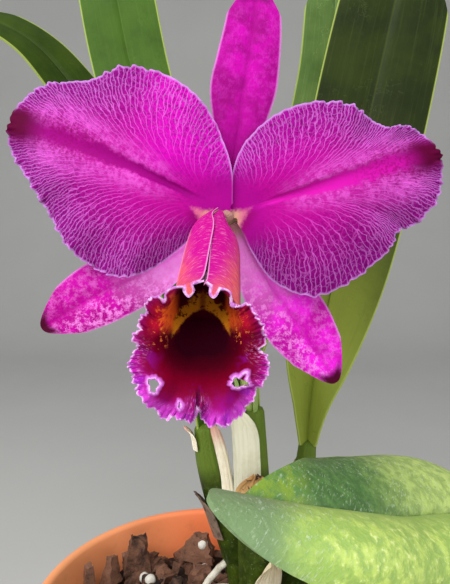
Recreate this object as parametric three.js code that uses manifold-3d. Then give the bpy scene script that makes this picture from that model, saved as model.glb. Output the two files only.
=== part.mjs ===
// A cattleya orchid in flower, in a plain plastic pot of bark.
// Millimetres, +Z up. The origin is the middle of the pot's underside, and the bloom faces -Y.
import * as THREE from "three";
import { mergeVertices } from "three/addons/utils/BufferGeometryUtils.js";
import Module from "manifold-3d";

const wasm = await Module();
wasm.setup();

// ---------------------------------------------------------------- driving dimensions
const GAP = 0.3; // clearance between two pieces that bear on each other
const POT = { height: 130, foot: 52, rim: 75, wall: 3, floor: 4, collar: 25, segments: 32 };
const COLLAR = { step: 2.6, lip: 2.5, wall: 4.4 }; // how far it stands out, its rounded lip, its thickness
const DRAINS = { count: 6, radius: 4, circle: 34 };
const BARK = { edge: 109, crown: 113, chips: 18, prills: 4, seed: 20 };
const BLOOM = new THREE.Vector3(6, -45, 288); // where sepals, petals, lip and column meet
const LEAF_THICKNESS = 1.6;
const SEPAL_THICKNESS = 1;
const PETAL_THICKNESS = 0.8;
const LIP_THICKNESS = 0.7;
const SHEATH_THICKNESS = 0.6;

// Large chips that stand up out of the bark, as [x, y, z, half sizes, turn about Z in degrees].
const LARGE_CHIPS = [
  [-38, 40, 124, 8.5, 5.5, 13, 12], [-49, 35, 120, 6, 4, 8, 60], [-57, 25, 118, 4, 4, 10, 30],
  [-8, 50, 121, 10, 6, 8, -20], [-6, 36, 115, 10, 7, 6, 10], [-24, 36, 115, 8, 5, 5, 40],
];

// Pseudobulbs: the middle line as [x, y, z, radius], from the rhizome up.
const PSEUDOBULBS = {
  left: [[13, 9, 112, 4.6], [12.8, 8.5, 137, 7.1], [5, 8, 164, 6.8], [-1, 8, 186, 5.8], [-3.2, 8, 202, 4.4]],
  middle: [
    [18, -8, 112, 4.6], [18, -5.5, 140, 6.9], [16.8, -3, 168, 6.6], [16, -2.2, 190, 6], [15, -1, 213, 5.2],
  ],
  right: [[35, 11, 112, 4.6], [35.5, 12, 140, 6.4], [38.4, 14, 168, 5], [40.4, 15, 192, 3.5]],
  front: [[50, -19, 112, 4.6], [56.5, -24, 133, 6.9], [74, -35, 150.5, 6.4], [90, -43.5, 164, 4.4]],
  back: [[15, 45, 112, 4.6], [15, 45.5, 138, 6.8], [15.2, 46, 164, 6], [15.4, 46, 188, 4]],
};

// The shape of a plain leaf's tip, and the curl of each half in degrees, for the left half and the right.
const EVEN_TIP = { curl: [14, 14], round: [0.15, 0.15], power: [2.6, 2.6], notch: 0.01 };

// Leaves: the midrib from the top of a pseudobulb to the tip, the half width and the fold of each half in
// degrees at the same stations, and the way the upper face looks. The tip is rounded by drawing each half
// back: -q is the left or near half and +q the right or far one.
const LEAVES = {
  left: {
    spine: [
      [-3.2, 8.6, 198], [-4.4, 12, 214], [-9.5, 19, 250], [-21.5, 28, 300], [-34, 36, 345], [-40.4, 38, 377],
      [-43.8, 40, 398],
    ],
    halfWidth: [4.4, 7, 12, 15.6, 16, 16, 15], fold: [48, 46, 34, 18, 12, 10, 8],
    face: [[0.1, -1, 0.1], [-0.1, -1, 0.15]], ...EVEN_TIP,
  },
  middle: {
    spine: [
      [15.2, 4.6, 209], [15.6, 12, 228], [26, 28, 262], [41, 38, 306], [50, 42, 344], [52.5, 44.5, 372],
      [53, 46, 394],
    ],
    halfWidth: [4.4, 6, 11, 13.5, 14, 13.5, 12], fold: [30, 44, 34, 20, 14, 10, 8],
    face: [[-0.1, -1, 0.2], [0.1, -1, 0.3]], ...EVEN_TIP,
  },
  right: {
    spine: [
      [40.4, 15.4, 190], [41.4, 17, 206], [44.2, 18, 228], [51.5, 18, 268], [62, 18, 322], [71, 20, 366],
      [75.5, 22, 389],
    ],
    halfWidth: [5, 9.5, 16, 21.5, 23, 22, 19], fold: [48, 46, 38, 22, 12, 8, 8],
    face: [[-0.15, -1, 0.1], [0.05, -1, 0.1]], ...EVEN_TIP,
  },
  front: {
    spine: [
      [90, -44, 163], [94, -47, 175], [89, -53, 189.5], [72, -62.5, 199], [50.5, -78, 206.5],
      [26, -96, 218.5], [-5, -105, 229],
    ],
    halfWidth: [4.6, 8, 19, 27, 27.5, 26, 24], fold: [44, 44, 45, 46, 46, 46, 46],
    face: [
      [0.7, 0.5, 0.1], [0.5, 0.2, 0.7], [0.05, -0.3, 1], [0, -0.35, 1], [-0.05, -0.2, 1], [-0.1, -0.1, 1],
    ],
    curl: [138, 80], round: [0.165, 0.28], power: [3, 0.9], notch: 0.07,
  },
  back: {
    spine: [
      [15.4, 46.4, 186], [11, 48, 208], [-3, 49.5, 245], [-24, 52, 285], [-45, 54.5, 317], [-63.5, 56, 343],
      [-80.5, 57, 362.5], [-99, 58, 373.5], [-119, 59.5, 377],
    ],
    halfWidth: [4.2, 7.5, 12, 13, 13, 13, 13, 13, 12], fold: [48, 46, 34, 22, 16, 12, 10, 9, 8],
    face: [[0.3, -1, 0.1], [0.3, -1, 0.3], [0.25, -0.8, 0.6], [0.2, -0.7, 1], [0.1, -0.6, 1.1]], ...EVEN_TIP,
  },
};

// Papery sheaths: the pseudobulb each one wraps, how far up it starts and ends (0 to 1), the compass
// direction it is centred on, the half angle it covers at its foot, how far its tip leans off, and how far
// it stands clear of what lies under it.
const SHEATHS = {
  sheath_left_dry: { on: "left", from: 0.42, to: 0.62, centre: 196, spread: 50, flare: 2.2, clear: 0.5 },
  sheath_left_tip: { on: "left", from: 0.84, to: 0.995, centre: 190, spread: 42, flare: 3, clear: 0.5 },
  sheath_middle_white: { on: "middle", from: 0.5, to: 0.99, centre: 225, spread: 66, flare: 1.6, clear: 0.5 },
  sheath_middle_brown: { on: "middle", from: 0.4, to: 0.76, centre: 284, spread: 46, flare: 3.4, clear: 1.9 },
  sheath_middle_low: { on: "middle", from: 0.08, to: 0.36, centre: 300, spread: 52, flare: 4.4, clear: 0.6 },
  sheath_right: { on: "right", from: 0.45, to: 0.9, centre: 90, spread: 96, flare: 0.6, clear: 0.5 },
  sheath_front: { on: "front", from: 0.38, to: 0.84, centre: 250, spread: 84, flare: 1.4, clear: 0.5 },
  sheath_back: { on: "back", from: 0.14, to: 0.62, centre: 270, spread: 80, flare: 1.4, clear: 0.5 },
};

// A rolled strip of old sheath that stands between the left and the middle pseudobulbs.
const STRIP = {
  spine: [[6.3, 0.3, 170], [6.1, 0.4, 176], [5.1, 0.7, 184], [3, 1, 194], [0.2, 1.2, 204]],
  halfWidth: [2.2, 2.5, 2.6, 2.6, 2.2], fold: [6, 2], face: [[-0.2, -1, 0.1], [-0.1, -1, 0.4]],
  curl: [60, 60], round: [0.1, 0.16], power: [2.6, 2.6], notch: 0.02,
};

// The rhizome and its roots creep along the bark: [x, y, z, radius].
const RHIZOME = [
  [14, 58, 109, 4], [15, 45, 110.5, 5], [14, 27, 111, 4.6], [13, 9, 111, 5.2], [18, -8, 111, 5.2],
  [33, -17, 111, 4.6], [50, -19, 111, 5.2], [58, -22, 109, 3.4],
];
const RHIZOME_BRANCH = [[13, 9, 111, 5], [24, 11, 111, 4.6], [35, 11, 111, 5.2], [43, 12, 109.5, 3.4]];
const ROOTS = [
  [[13, 27, 112, 2.1], [4, 24, 117, 2.1], [-6, 24, 113, 2.1], [-14, 25, 103, 2], [-18, 26, 92, 1.6]],
  [
    [5.6, 7, 141, 1.4], [1.6, 6, 137.5, 1.5], [-4, 5, 130, 1.5], [-9, 4, 119, 1.5], [-12, 4, 108, 1.5],
    [-13, 4, 97, 1.2],
  ],
  [[17, -8, 113, 2.2], [9, -15, 117, 2.2], [1, -24, 113, 2.1], [-5, -30, 103, 2], [-8, -33, 91, 1.6]],
  [[31, -17, 113, 2.1], [29, -27, 117, 2.1], [25, -38, 112, 2], [23, -44, 102, 1.9], [22, -46, 91, 1.5]],
  [[36, 13, 113, 2.2], [41, 23, 117, 2.1], [43, 32, 112, 2], [44, 38, 103, 1.9], [44, 40, 93, 1.5]],
];

// The flower stem, from the middle pseudobulb up through the ovary to the seat of the bloom.
const STEM = [
  [14.4, -3.2, 210, 2.5], [12.6, -5, 226, 2.2], [8, -7, 246, 2.1], [5.5, -11, 266, 2.4], [5.5, -19, 281, 3],
  [6, -31, 287.5, 3.2], [5.8, -40, 287.8, 3.6], [5.4, -48, 287.4, 3.1],
];

// Bloom outlines, each from one side of its claw round the tip to the other side, as [right, up] from BLOOM.
const PETAL_LEFT = {
  claw: [[1.2, 1.4], [-1.6, -1.4]], forward: 1.6, midrib: 0.46, heading: 144,
  outline: [
    [1.4, 3.3], [0.8, 14.5], [-4.2, 27.6], [-10.5, 35.8], [-20, 41.8], [-30.5, 43.4], [-40, 40.2],
    [-49.5, 39.2], [-57, 37.6], [-64, 32.8], [-66.8, 25], [-66, 17.5], [-60.5, 9.5], [-57, 3], [-52.5, -5],
    [-47, -12.5], [-39, -18], [-30.5, -19], [-21.5, -15.4], [-13, -8.6], [-7.8, -3.4], [-3.4, -2.4],
  ],
};
const PETAL_RIGHT = {
  claw: [[-0.8, 1.4], [1.8, -1.2]], forward: 0.2, midrib: 0.47, heading: 26,
  outline: [
    [0, 3.3], [2, 15], [6, 22.5], [14.5, 29.7], [25.5, 33.6], [36, 32.8], [42.5, 29], [48.5, 26.2],
    [54.5, 26.6], [60.5, 23.6], [65, 18], [66.4, 11], [64.6, 4.6], [58.5, -3], [52.5, -5.5],
    [49.5, -11.6], [39.5, -20.4], [26.5, -25.3], [14.5, -21], [7.6, -12], [5, -6.4], [2.8, -2.8],
  ],
};

// Sepals: the middle line as [right, up, forward], with the half width at the same stations.
const SEPALS = {
  sepal_dorsal: {
    spine: [
      [0, 2, -3.2], [1, 13, -4.6], [2.9, 25, -6], [4.4, 37, -7], [6, 46, -7.6], [7.6, 57, -8.6],
      [8.4, 69, -10.5],
    ],
    halfWidth: [3.4, 5, 7.6, 10.2, 9.9, 8.8, 7.4], round: [0.12, 0.12],
  },
  sepal_left: {
    spine: [
      [-2.4, -1.4, -3.6], [-14, -10.6, -6], [-27.5, -18.6, -7], [-41, -25.2, -6.6], [-50.5, -30.6, -6.2],
      [-60.5, -37, -7],
    ],
    halfWidth: [3, 6.4, 9.6, 10.4, 8.8, 6.4], round: [0.2, 0.2],
  },
  sepal_right: {
    spine: [
      [2.6, -2.2, -3.6], [8, -13, -6], [15, -24.5, -7], [22.5, -35, -6.6], [29, -44.3, -6.2], [35.6, -55, -7],
    ],
    halfWidth: [3, 7.2, 10.4, 11, 9, 6.4], round: [0.2, 0.2],
  },
};

// The lip: hoops of its rolled tube as [right, up, forward, half width, half height, tilt], narrow at the
// base, then the margin of its front lobe as [right, up], from the seam on top round the left, the notch
// and the right.
const LIP_HOOPS = [
  [-1.6, -1.2, 3.8, 3.1, 2.6], [-3.6, -4.8, 8.5, 6, 4.6], [-4.3, -9.6, 15, 7.2, 6.4],
  [-5.2, -17.2, 25, 8.1, 8.4], [-6, -25.4, 34, 8.9, 10.6], [-7, -31.8, 37.4, 11.4, 15.2, 1],
];
const LIP_MARGIN = [
  [-5.6, -15.2], [-8.6, -16.8], [-11.8, -17.3], [-15.2, -17.9], [-18, -19.2], [-20.6, -21.6], [-22.2, -25],
  [-23.4, -29], [-24.2, -33.6], [-25.4, -38], [-24.4, -42.4], [-21.4, -47], [-17.4, -51.2], [-13.4, -51.6],
  [-10.2, -52.2], [-8.6, -49.8], [-6, -52.8], [-1.6, -53], [3, -51], [6.4, -46.4], [9.2, -41], [10, -36.6],
  [9.4, -32], [8.8, -27], [7, -23], [4.2, -20], [1.2, -18.4], [-1.6, -17.8], [-4, -17.4], [-6.2, -17.1],
];
const LIP_FRONT = 37; // how far forward the margin lies
const FRILL = { depth: 1.3, waves: [9, 14] };

// Holes where two frills meet at the margin, as [right, up, half width, half height].
const LIP_LOOPS = [[-19.6, -42.6, 1.3, 1.8], [2.4, -42, 2, 1.2]];

// The column inside the lip as [right, up, forward, radius], with its anther cap.
const COLUMN = [
  [-1.6, -1.3, 3.6, 1.4], [-3.2, -4.8, 9, 2.1], [-3.8, -9.2, 16.5, 2.5], [-4.2, -13, 25, 2.6],
  [-4.8, -14.9, 28.6, 2.2],
];
const ANTHER_CAP = { at: [-5.1, -16, 30.6], radius: 2 };

// ---------------------------------------------------------------- colours
const finish = (color, roughness) => new THREE.MeshStandardMaterial({ color, roughness, metalness: 0 });
const FINISH = {
  pot: finish(0xe06a35, 0.5),
  bark: finish(0x4a3228, 0.9),
  rhizome: finish(0x6d7a3a, 0.7),
  root: finish(0xd9d6c4, 0.7),
  bulb: finish(0x4d7a2c, 0.45),
  leaf: finish(0x4f7f2c, 0.4),
  paper: finish(0xe9e4cf, 0.7),
  driedPaper: finish(0xa5763f, 0.8),
  stem: finish(0x8cab4a, 0.5),
  sepal: finish(0xd63ad0, 0.5),
  petal: finish(0xc22bb4, 0.5),
  lip: finish(0x8c0f4a, 0.45),
  column: finish(0xf0d9d8, 0.4),
};

// ---------------------------------------------------------------- geometry helpers
const radians = THREE.MathUtils.degToRad;
const vector = ([x, y, z]) => new THREE.Vector3(x, y, z);
const lerp = THREE.MathUtils.lerp;
const smoothstep = THREE.MathUtils.smoothstep;
const inBloom = (right, up, forward) => BLOOM.clone().add(new THREE.Vector3(right, -forward, up));

// A curve through points; its tangents are those of a uniform Catmull-Rom spline.
const curve = (points) => new THREE.CatmullRomCurve3(points, false, "catmullrom", 0.5);

// A number that passes smoothly through a list of values.
function along(values, t) {
  return curve(values.map((value) => new THREE.Vector3(value, 0, 0))).getPoint(t).x;
}

// Repeatable random numbers from 0 to 1.
function randomFrom(seed) {
  let state = seed >>> 0;
  return () => {
    state = (state + 0x6d2b79f5) >>> 0;
    let mixed = Math.imul(state ^ (state >>> 15), state | 1);
    mixed ^= mixed + Math.imul(mixed ^ (mixed >>> 7), mixed | 61);
    return ((mixed ^ (mixed >>> 14)) >>> 0) / 4294967296;
  };
}

// The closed surface of a geometry as a manifold-3d solid.
function solidOf(geometry) {
  const bare = geometry.clone();
  bare.deleteAttribute("normal");
  bare.deleteAttribute("uv");
  const merged = mergeVertices(bare, 1e-4);
  const corners = merged.index.array;
  const kept = [];
  for (let i = 0; i < corners.length; i += 3) {
    const [a, b, c] = [corners[i], corners[i + 1], corners[i + 2]];
    if (a !== b && b !== c && a !== c) kept.push(a, b, c);
  }
  const vertProperties = merged.attributes.position.array;
  return new wasm.Manifold(new wasm.Mesh({ numProp: 3, vertProperties, triVerts: new Uint32Array(kept) }));
}

function geometryOf(solid) {
  const { vertProperties, triVerts, numProp, numVert } = solid.getMesh();
  const positions = new Float32Array(numVert * 3);
  for (let i = 0; i < numVert; i++) {
    positions.set(vertProperties.subarray(i * numProp, i * numProp + 3), i * 3);
  }
  const geometry = new THREE.BufferGeometry();
  geometry.setAttribute("position", new THREE.BufferAttribute(positions, 3));
  geometry.setIndex(new THREE.BufferAttribute(triVerts, 1));
  geometry.computeVertexNormals();
  return geometry;
}

// The largest body of a solid, without the scraps that a cut leaves.
function largest(solid) {
  return solid.decompose().sort((a, b) => b.volume() - a.volume())[0];
}

// A closed surface through rows of points: each row is a ring, and both ends are capped.
function loft(rings) {
  const sides = rings[0].length;
  const positions = [];
  const triangles = [];
  rings.forEach((ring) => ring.forEach((point) => positions.push(point.x, point.y, point.z)));
  for (let row = 0; row < rings.length - 1; row++) {
    for (let side = 0; side < sides; side++) {
      const a = row * sides + side;
      const b = row * sides + ((side + 1) % sides);
      triangles.push(a, b, b + sides, a, b + sides, a + sides);
    }
  }
  for (const [ring, turn] of [[0, 1], [rings.length - 1, 0]]) {
    const centre = new THREE.Vector3();
    rings[ring].forEach((point) => centre.addScaledVector(point, 1 / sides));
    const hub = positions.length / 3;
    positions.push(centre.x, centre.y, centre.z);
    for (let side = 0; side < sides; side++) {
      const a = ring * sides + side;
      const b = ring * sides + ((side + 1) % sides);
      triangles.push(...(turn ? [b, a, hub] : [a, b, hub]));
    }
  }
  return indexed(positions, triangles);
}

function indexed(positions, triangles) {
  const geometry = new THREE.BufferGeometry();
  geometry.setAttribute("position", new THREE.Float32BufferAttribute(positions, 3));
  geometry.setIndex(triangles);
  return geometry;
}

// A round stalk along [x, y, z, radius] points, without twist. Ribs swell it a little all round.
function stalk(points, { rows, sides, ribs = 0, ribDepth = 0, grow = 0 }) {
  const middle = curve(points.map(vector));
  const radii = points.map((point) => point[3]);
  const rings = [];
  let { side } = crossAxes(middle.getTangent(0));
  for (let row = 0; row <= rows; row++) {
    const t = row / rows;
    const tangent = middle.getTangent(t);
    side = side.clone().addScaledVector(tangent, -side.dot(tangent)).normalize();
    const front = new THREE.Vector3().crossVectors(tangent, side);
    const radius = along(radii, t) + grow;
    const centre = middle.getPoint(t);
    if (row === 0 || row === rows) centre.addScaledVector(tangent, row ? grow : -grow);
    const ring = [];
    for (let i = 0; i < sides; i++) {
      const angle = (2 * Math.PI * i) / sides;
      const reach = radius * (1 + ribDepth * Math.cos(ribs * angle));
      ring.push(polar(centre, side, front, reach, angle));
    }
    rings.push(ring);
  }
  return solidOf(loft(rings));
}

// A point at a distance and an angle from a centre, in the plane of two axes.
function polar(centre, side, front, reach, angle) {
  const point = centre.clone().addScaledVector(side, reach * Math.cos(angle));
  return point.addScaledVector(front, reach * Math.sin(angle));
}

// Two axes square to a direction: for an upright stalk, side is +X and front is +Y.
function crossAxes(tangent) {
  const reference = Math.abs(tangent.y) > 0.9 ? new THREE.Vector3(0, 0, -1) : new THREE.Vector3(0, 1, 0);
  const side = new THREE.Vector3().crossVectors(reference, tangent).normalize();
  const front = new THREE.Vector3().crossVectors(tangent, side).normalize();
  return { side, front };
}

// A thin closed blade about the middle surface at(u, v). Both faces are split into triangles alike.
function blade(at, { rows, columns, thickness }) {
  const step = 1e-3;
  const positions = [];
  const triangles = [];
  const stride = columns + 1;
  const count = (rows + 1) * stride;
  const faces = [[], []];
  for (let row = 0; row <= rows; row++) {
    for (let column = 0; column <= columns; column++) {
      const [u, v] = [row / rows, column / columns];
      const alongU = at(Math.min(u + step, 1), v).sub(at(Math.max(u - step, 0), v));
      const alongV = at(u, Math.min(v + step, 1)).sub(at(u, Math.max(v - step, 0)));
      const normal = alongU.cross(alongV).normalize();
      const half = (typeof thickness === "function" ? thickness(u, v) : thickness) / 2;
      faces[0].push(at(u, v).addScaledVector(normal, half));
      faces[1].push(at(u, v).addScaledVector(normal, -half));
    }
  }
  faces.flat().forEach((point) => positions.push(point.x, point.y, point.z));
  for (let row = 0; row < rows; row++) {
    for (let column = 0; column < columns; column++) {
      const a = row * stride + column;
      const [b, c, d] = [a + 1, a + stride + 1, a + stride];
      triangles.push(a, c, b, a, d, c);
      triangles.push(a + count, b + count, c + count, a + count, c + count, d + count);
    }
  }
  const rim = [];
  for (let column = 0; column < columns; column++) rim.push(column);
  for (let row = 0; row < rows; row++) rim.push(row * stride + columns);
  for (let column = columns; column > 0; column--) rim.push(rows * stride + column);
  for (let row = rows; row > 0; row--) rim.push(row * stride);
  rim.forEach((a, i) => {
    const b = rim[(i + 1) % rim.length];
    triangles.push(a, b, b + count, a, b + count, a + count);
  });
  const solid = solidOf(indexed(positions, triangles));
  if (solid.volume() > 0) return solid;
  for (let i = 0; i < triangles.length; i += 3) {
    [triangles[i], triangles[i + 1]] = [triangles[i + 1], triangles[i]];
  }
  return solidOf(indexed(positions, triangles));
}

// ---------------------------------------------------------------- the pot and the bark
const innerRadius = (z) => {
  const share = (z - POT.floor) / (POT.height - COLLAR.lip - POT.floor);
  return lerp(POT.foot - POT.wall, POT.rim - COLLAR.wall, share);
};

const lathe = (profile) => {
  const turned = new THREE.LatheGeometry(profile.map(([r, z]) => new THREE.Vector2(r, z)), POT.segments);
  return solidOf(turned.rotateX(Math.PI / 2));
};

function pot() {
  const { height, foot, rim, wall, floor, collar } = POT;
  const collarFoot = height - collar;
  const body = lathe([
    [0, 0], [foot - 1.5, 0], [foot, 1.5], [innerRadius(collarFoot - 1.5) + wall, collarFoot - 1.5],
    [rim - COLLAR.step, collarFoot], [rim, height - COLLAR.lip], [rim - 0.8, height - 0.7],
    [rim - 2.2, height], [rim - 3.6, height - 0.7], [innerRadius(height - COLLAR.lip), height - COLLAR.lip],
    [innerRadius(floor), floor], [0, floor],
  ]);
  const holes = [];
  for (let i = 0; i < DRAINS.count; i++) {
    const angle = ((i + 0.5) / DRAINS.count) * 2 * Math.PI;
    const hole = new THREE.CylinderGeometry(DRAINS.radius, DRAINS.radius, 4 * floor, 8).rotateX(Math.PI / 2);
    holes.push(solidOf(hole.translate(DRAINS.circle * Math.cos(angle), DRAINS.circle * Math.sin(angle), 0)));
  }
  return holes.reduce((whole, hole) => whole.subtract(hole), body);
}

// One angular chip of bark: a box with its corners knocked about and its top drawn in, turned and tilted.
function chip(random, centre, sizes, turn, { tilt, peak }) {
  const box = new THREE.BoxGeometry(2, 2, 2);
  box.deleteAttribute("normal");
  box.deleteAttribute("uv");
  const corners = mergeVertices(box);
  const place = corners.attributes.position;
  for (let i = 0; i < place.count; i++) {
    const drawn = place.getZ(i) > 0 ? [peak, peak, 1] : [1, 1, 1];
    for (const axis of [0, 1, 2]) {
      const knock = sizes[axis] * drawn[axis] * lerp(0.6, 1, random());
      place.setComponent(i, axis, place.getComponent(i, axis) * knock);
    }
  }
  const lean = new THREE.Euler(lerp(-tilt, tilt, random()), lerp(-tilt, tilt, random()), turn);
  const move = new THREE.Matrix4().makeRotationFromEuler(lean).setPosition(...centre);
  return solidOf(corners.applyMatrix4(move));
}

// The height of the bark bed under the chips, a low mound.
const bedHeight = (radius) => lerp(BARK.crown, BARK.edge, (radius / innerRadius(BARK.edge)) ** 2);

// A place on the bed, evenly spread over a disc of this radius.
function scattered(random, reach) {
  const radius = reach * Math.sqrt(random());
  const angle = 2 * Math.PI * random();
  return [radius * Math.cos(angle), radius * Math.sin(angle), bedHeight(radius)];
}

function barkMix(cutters) {
  const edge = innerRadius(BARK.edge) - GAP;
  const base = POT.floor + GAP;
  const bed = [[0, base], [innerRadius(POT.floor) - 2 * GAP, base], [edge - GAP, BARK.edge]];
  for (const share of [0.7, 0.4, 0]) bed.push([share * edge, bedHeight(share * edge)]);
  const clear = lathe([[0, 0], [innerRadius(0) - GAP, 0], [innerRadius(140) - GAP, 140], [0, 140]]);
  const random = randomFrom(BARK.seed);
  const pieces = [lathe(bed)];
  for (const [x, y, z, a, b, c, turn] of LARGE_CHIPS) {
    pieces.push(chip(random, [x, y, z], [a, b, c], radians(turn), { tilt: 0.15, peak: 0.45 }));
  }
  for (let i = 0; i < BARK.chips; i++) {
    const [x, y, z] = scattered(random, edge - 4);
    const sizes = [lerp(8, 14, random()), lerp(6, 9, random()), lerp(4, 6, random())];
    const centre = [x, y, z + lerp(-1, 3, random())];
    pieces.push(chip(random, centre, sizes, 2 * Math.PI * random(), { tilt: 0.6, peak: 0.8 }));
  }
  for (let i = 0; i < BARK.prills; i++) {
    const [x, y, z] = scattered(random, edge - 6);
    const prill = new THREE.IcosahedronGeometry(lerp(2.4, 3, random()), 0);
    pieces.push(solidOf(prill.translate(x, y, z + 4)));
  }
  const heap = wasm.Manifold.union(pieces).intersect(clear);
  return largest(heap.subtract(cutters));
}

// ---------------------------------------------------------------- stems, sheaths and roots
const rhizome = (grow = 0) =>
  stalk(RHIZOME, { rows: 14, sides: 8, grow }).add(stalk(RHIZOME_BRANCH, { rows: 5, sides: 8, grow }));
const pseudobulb = (name, grow = 0) =>
  stalk(PSEUDOBULBS[name], { rows: 8, sides: 12, ribs: 6, ribDepth: 0.03, grow });
const root = (points, grow = 0) => stalk(points, { rows: 7, sides: 6, grow });
const flowerStem = (grow = 0) => stalk(STEM, { rows: 16, sides: 8, grow });

// The share of its full angle that a sheath covers at u, from its foot to its pointed tip.
const sheathTaper = (u) => lerp(0.12, 1, 1 - u ** 4);

function sheath({ on, from, to, centre, spread, flare, clear }) {
  const points = PSEUDOBULBS[on];
  const middle = curve(points.map(vector));
  const radii = points.map((point) => point[3]);
  return blade((u, v) => {
    const t = lerp(from, to, u);
    const { side, front } = crossAxes(middle.getTangent(t));
    const angle = radians(centre + spread * sheathTaper(u) * (2 * v - 1));
    const edgeLift = 0.5 * Math.abs(2 * v - 1) ** 3;
    const reach = along(radii, t) * 1.03 + clear + SHEATH_THICKNESS / 2 + edgeLift + flare * u ** 3;
    return polar(middle.getPoint(t), side, front, reach, angle);
  }, { rows: 5, columns: 6, thickness: SHEATH_THICKNESS });
}

// The green spathe that the flower stem grew out of: a sleeve, open in front and pointed behind.
function spathe() {
  const middle = curve(STEM.map(vector));
  return blade((u, v) => {
    const t = lerp(0.015, 0.2, u);
    const { side, front } = crossAxes(middle.getTangent(t));
    const angle = radians(90 + 150 * sheathTaper(u) * (2 * v - 1));
    const reach = 3.5 + 0.7 * Math.sin(Math.PI * u);
    return polar(middle.getPoint(t), side, front, reach, angle);
  }, { rows: 4, columns: 9, thickness: SHEATH_THICKNESS });
}

// ---------------------------------------------------------------- leaves and sepals
// A point of a folded strip: each half leaves the midrib at the fold's angle and bends back by the curl.
function foldedPoint(centre, tangent, face, q, halfWidth, fold, curl) {
  const across = new THREE.Vector3().crossVectors(tangent, face).normalize();
  const up = new THREE.Vector3().crossVectors(across, tangent).normalize();
  const share = Math.abs(q);
  const [start, bend] = [radians(fold), radians(curl)];
  const out = (halfWidth * (Math.sin(start) - Math.sin(start - bend * share))) / bend;
  const rise = (halfWidth * (Math.cos(start - bend * share) - Math.cos(start))) / bend;
  return centre.clone().addScaledVector(across, Math.sign(q) * out).addScaledVector(up, rise);
}

// A strap along its midrib; towards the tip each half is drawn back to round it, and the notch parts them.
function strap({ spine, halfWidth, fold, face, curl, round, power, notch }, { rows, columns, thickness }) {
  const middle = curve(spine.map(vector));
  const facing = curve(face.map(vector));
  return blade((u, v) => {
    const q = 2 * v - 1;
    const half = q < 0 ? 0 : 1;
    const s = u * (1 - round[half] * Math.abs(q) ** power[half] - notch * (1 - Math.abs(q)) ** 4);
    const [centre, tangent, normal] = [middle.getPoint(s), middle.getTangent(s), facing.getPoint(s)];
    const bend = curl[half] * lerp(0.3, 1, smoothstep(s, 0.05, 0.45));
    return foldedPoint(centre, tangent, normal.normalize(), q, along(halfWidth, s), along(fold, s), bend);
  }, { rows, columns, thickness });
}

const leafThickness = (u, v) => lerp(LEAF_THICKNESS, 0.8, Math.abs(2 * v - 1));
const leaf = (shape) => strap(shape, { rows: 12, columns: 8, thickness: leafThickness });

const SEPAL_FORM = {
  fold: [16, 14, 12], face: [[0, -1, 0], [0, -1, 0]], curl: [26, 26], power: [2.2, 2.2], notch: 0,
};
function sepal({ spine, halfWidth, round }) {
  const shape = { ...SEPAL_FORM, spine: spine.map((point) => inBloom(...point).toArray()), halfWidth, round };
  return strap(shape, { rows: 9, columns: 6, thickness: SEPAL_THICKNESS });
}

// ---------------------------------------------------------------- the bloom
// A wide frilled petal: its veins leave the claw along the midrib's heading and bend out to the margin, and
// its surface follows them. Each half is a low dome, the midrib is a groove between them, the whole sweeps
// back a little, and the margin waves.
function petal({ claw, forward, midrib, heading, outline }) {
  const margin = curve(outline.map(([right, up]) => new THREE.Vector3(right, up, 0)));
  const [above, below] = claw.map(([right, up]) => new THREE.Vector3(right, up, 0));
  const ahead = new THREE.Vector3(Math.cos(radians(heading)), Math.sin(radians(heading)), 0);
  const alongVein = (reach, v) => {
    const [start, end] = [above.clone().lerp(below, v), margin.getPoint(v)];
    const bend = start.clone().addScaledVector(ahead, 0.55 * start.distanceTo(end));
    return new THREE.QuadraticBezierCurve3(start, bend, end).getPoint(reach);
  };
  return blade((reach, v) => {
    const point = alongVein(reach, v);
    const far = point.length();
    const offMidrib = point.distanceTo(alongVein(reach, midrib));
    const dome = 3.4 * Math.sin(Math.PI * reach) * smoothstep(far, 5, 26);
    const groove = 1.8 * Math.exp(-((offMidrib / 3) ** 2)) * smoothstep(far, 6, 24) * (1 - reach ** 4);
    const sweep = 0.0009 * far ** 2;
    const wave = 1.2 * smoothstep(reach, 0.66, 1) * smoothstep(far, 12, 30) * Math.sin(2 * Math.PI * 9 * v);
    return inBloom(point.x, point.y, forward + dome - groove - sweep + wave);
  }, { rows: 7, columns: 36, thickness: PETAL_THICKNESS });
}

// A point of the lip's hoop: v runs from the seam on top, round the left and the bottom, to the seam, where
// the first edge laps over the last.
function hoopPoint([right, up, forward, wide, high, tilt = 0], v) {
  const angle = Math.PI / 2 + radians(lerp(-4, 361, v));
  const lap = 0.5 * (1 - smoothstep(v, 0, 0.1)) - 0.5 * smoothstep(v, 0.9, 1);
  const [across, rise] = [Math.cos(angle), Math.sin(angle)];
  return new THREE.Vector3(right + (wide + lap) * across, up + (high + lap) * rise, forward - tilt * rise);
}

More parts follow.
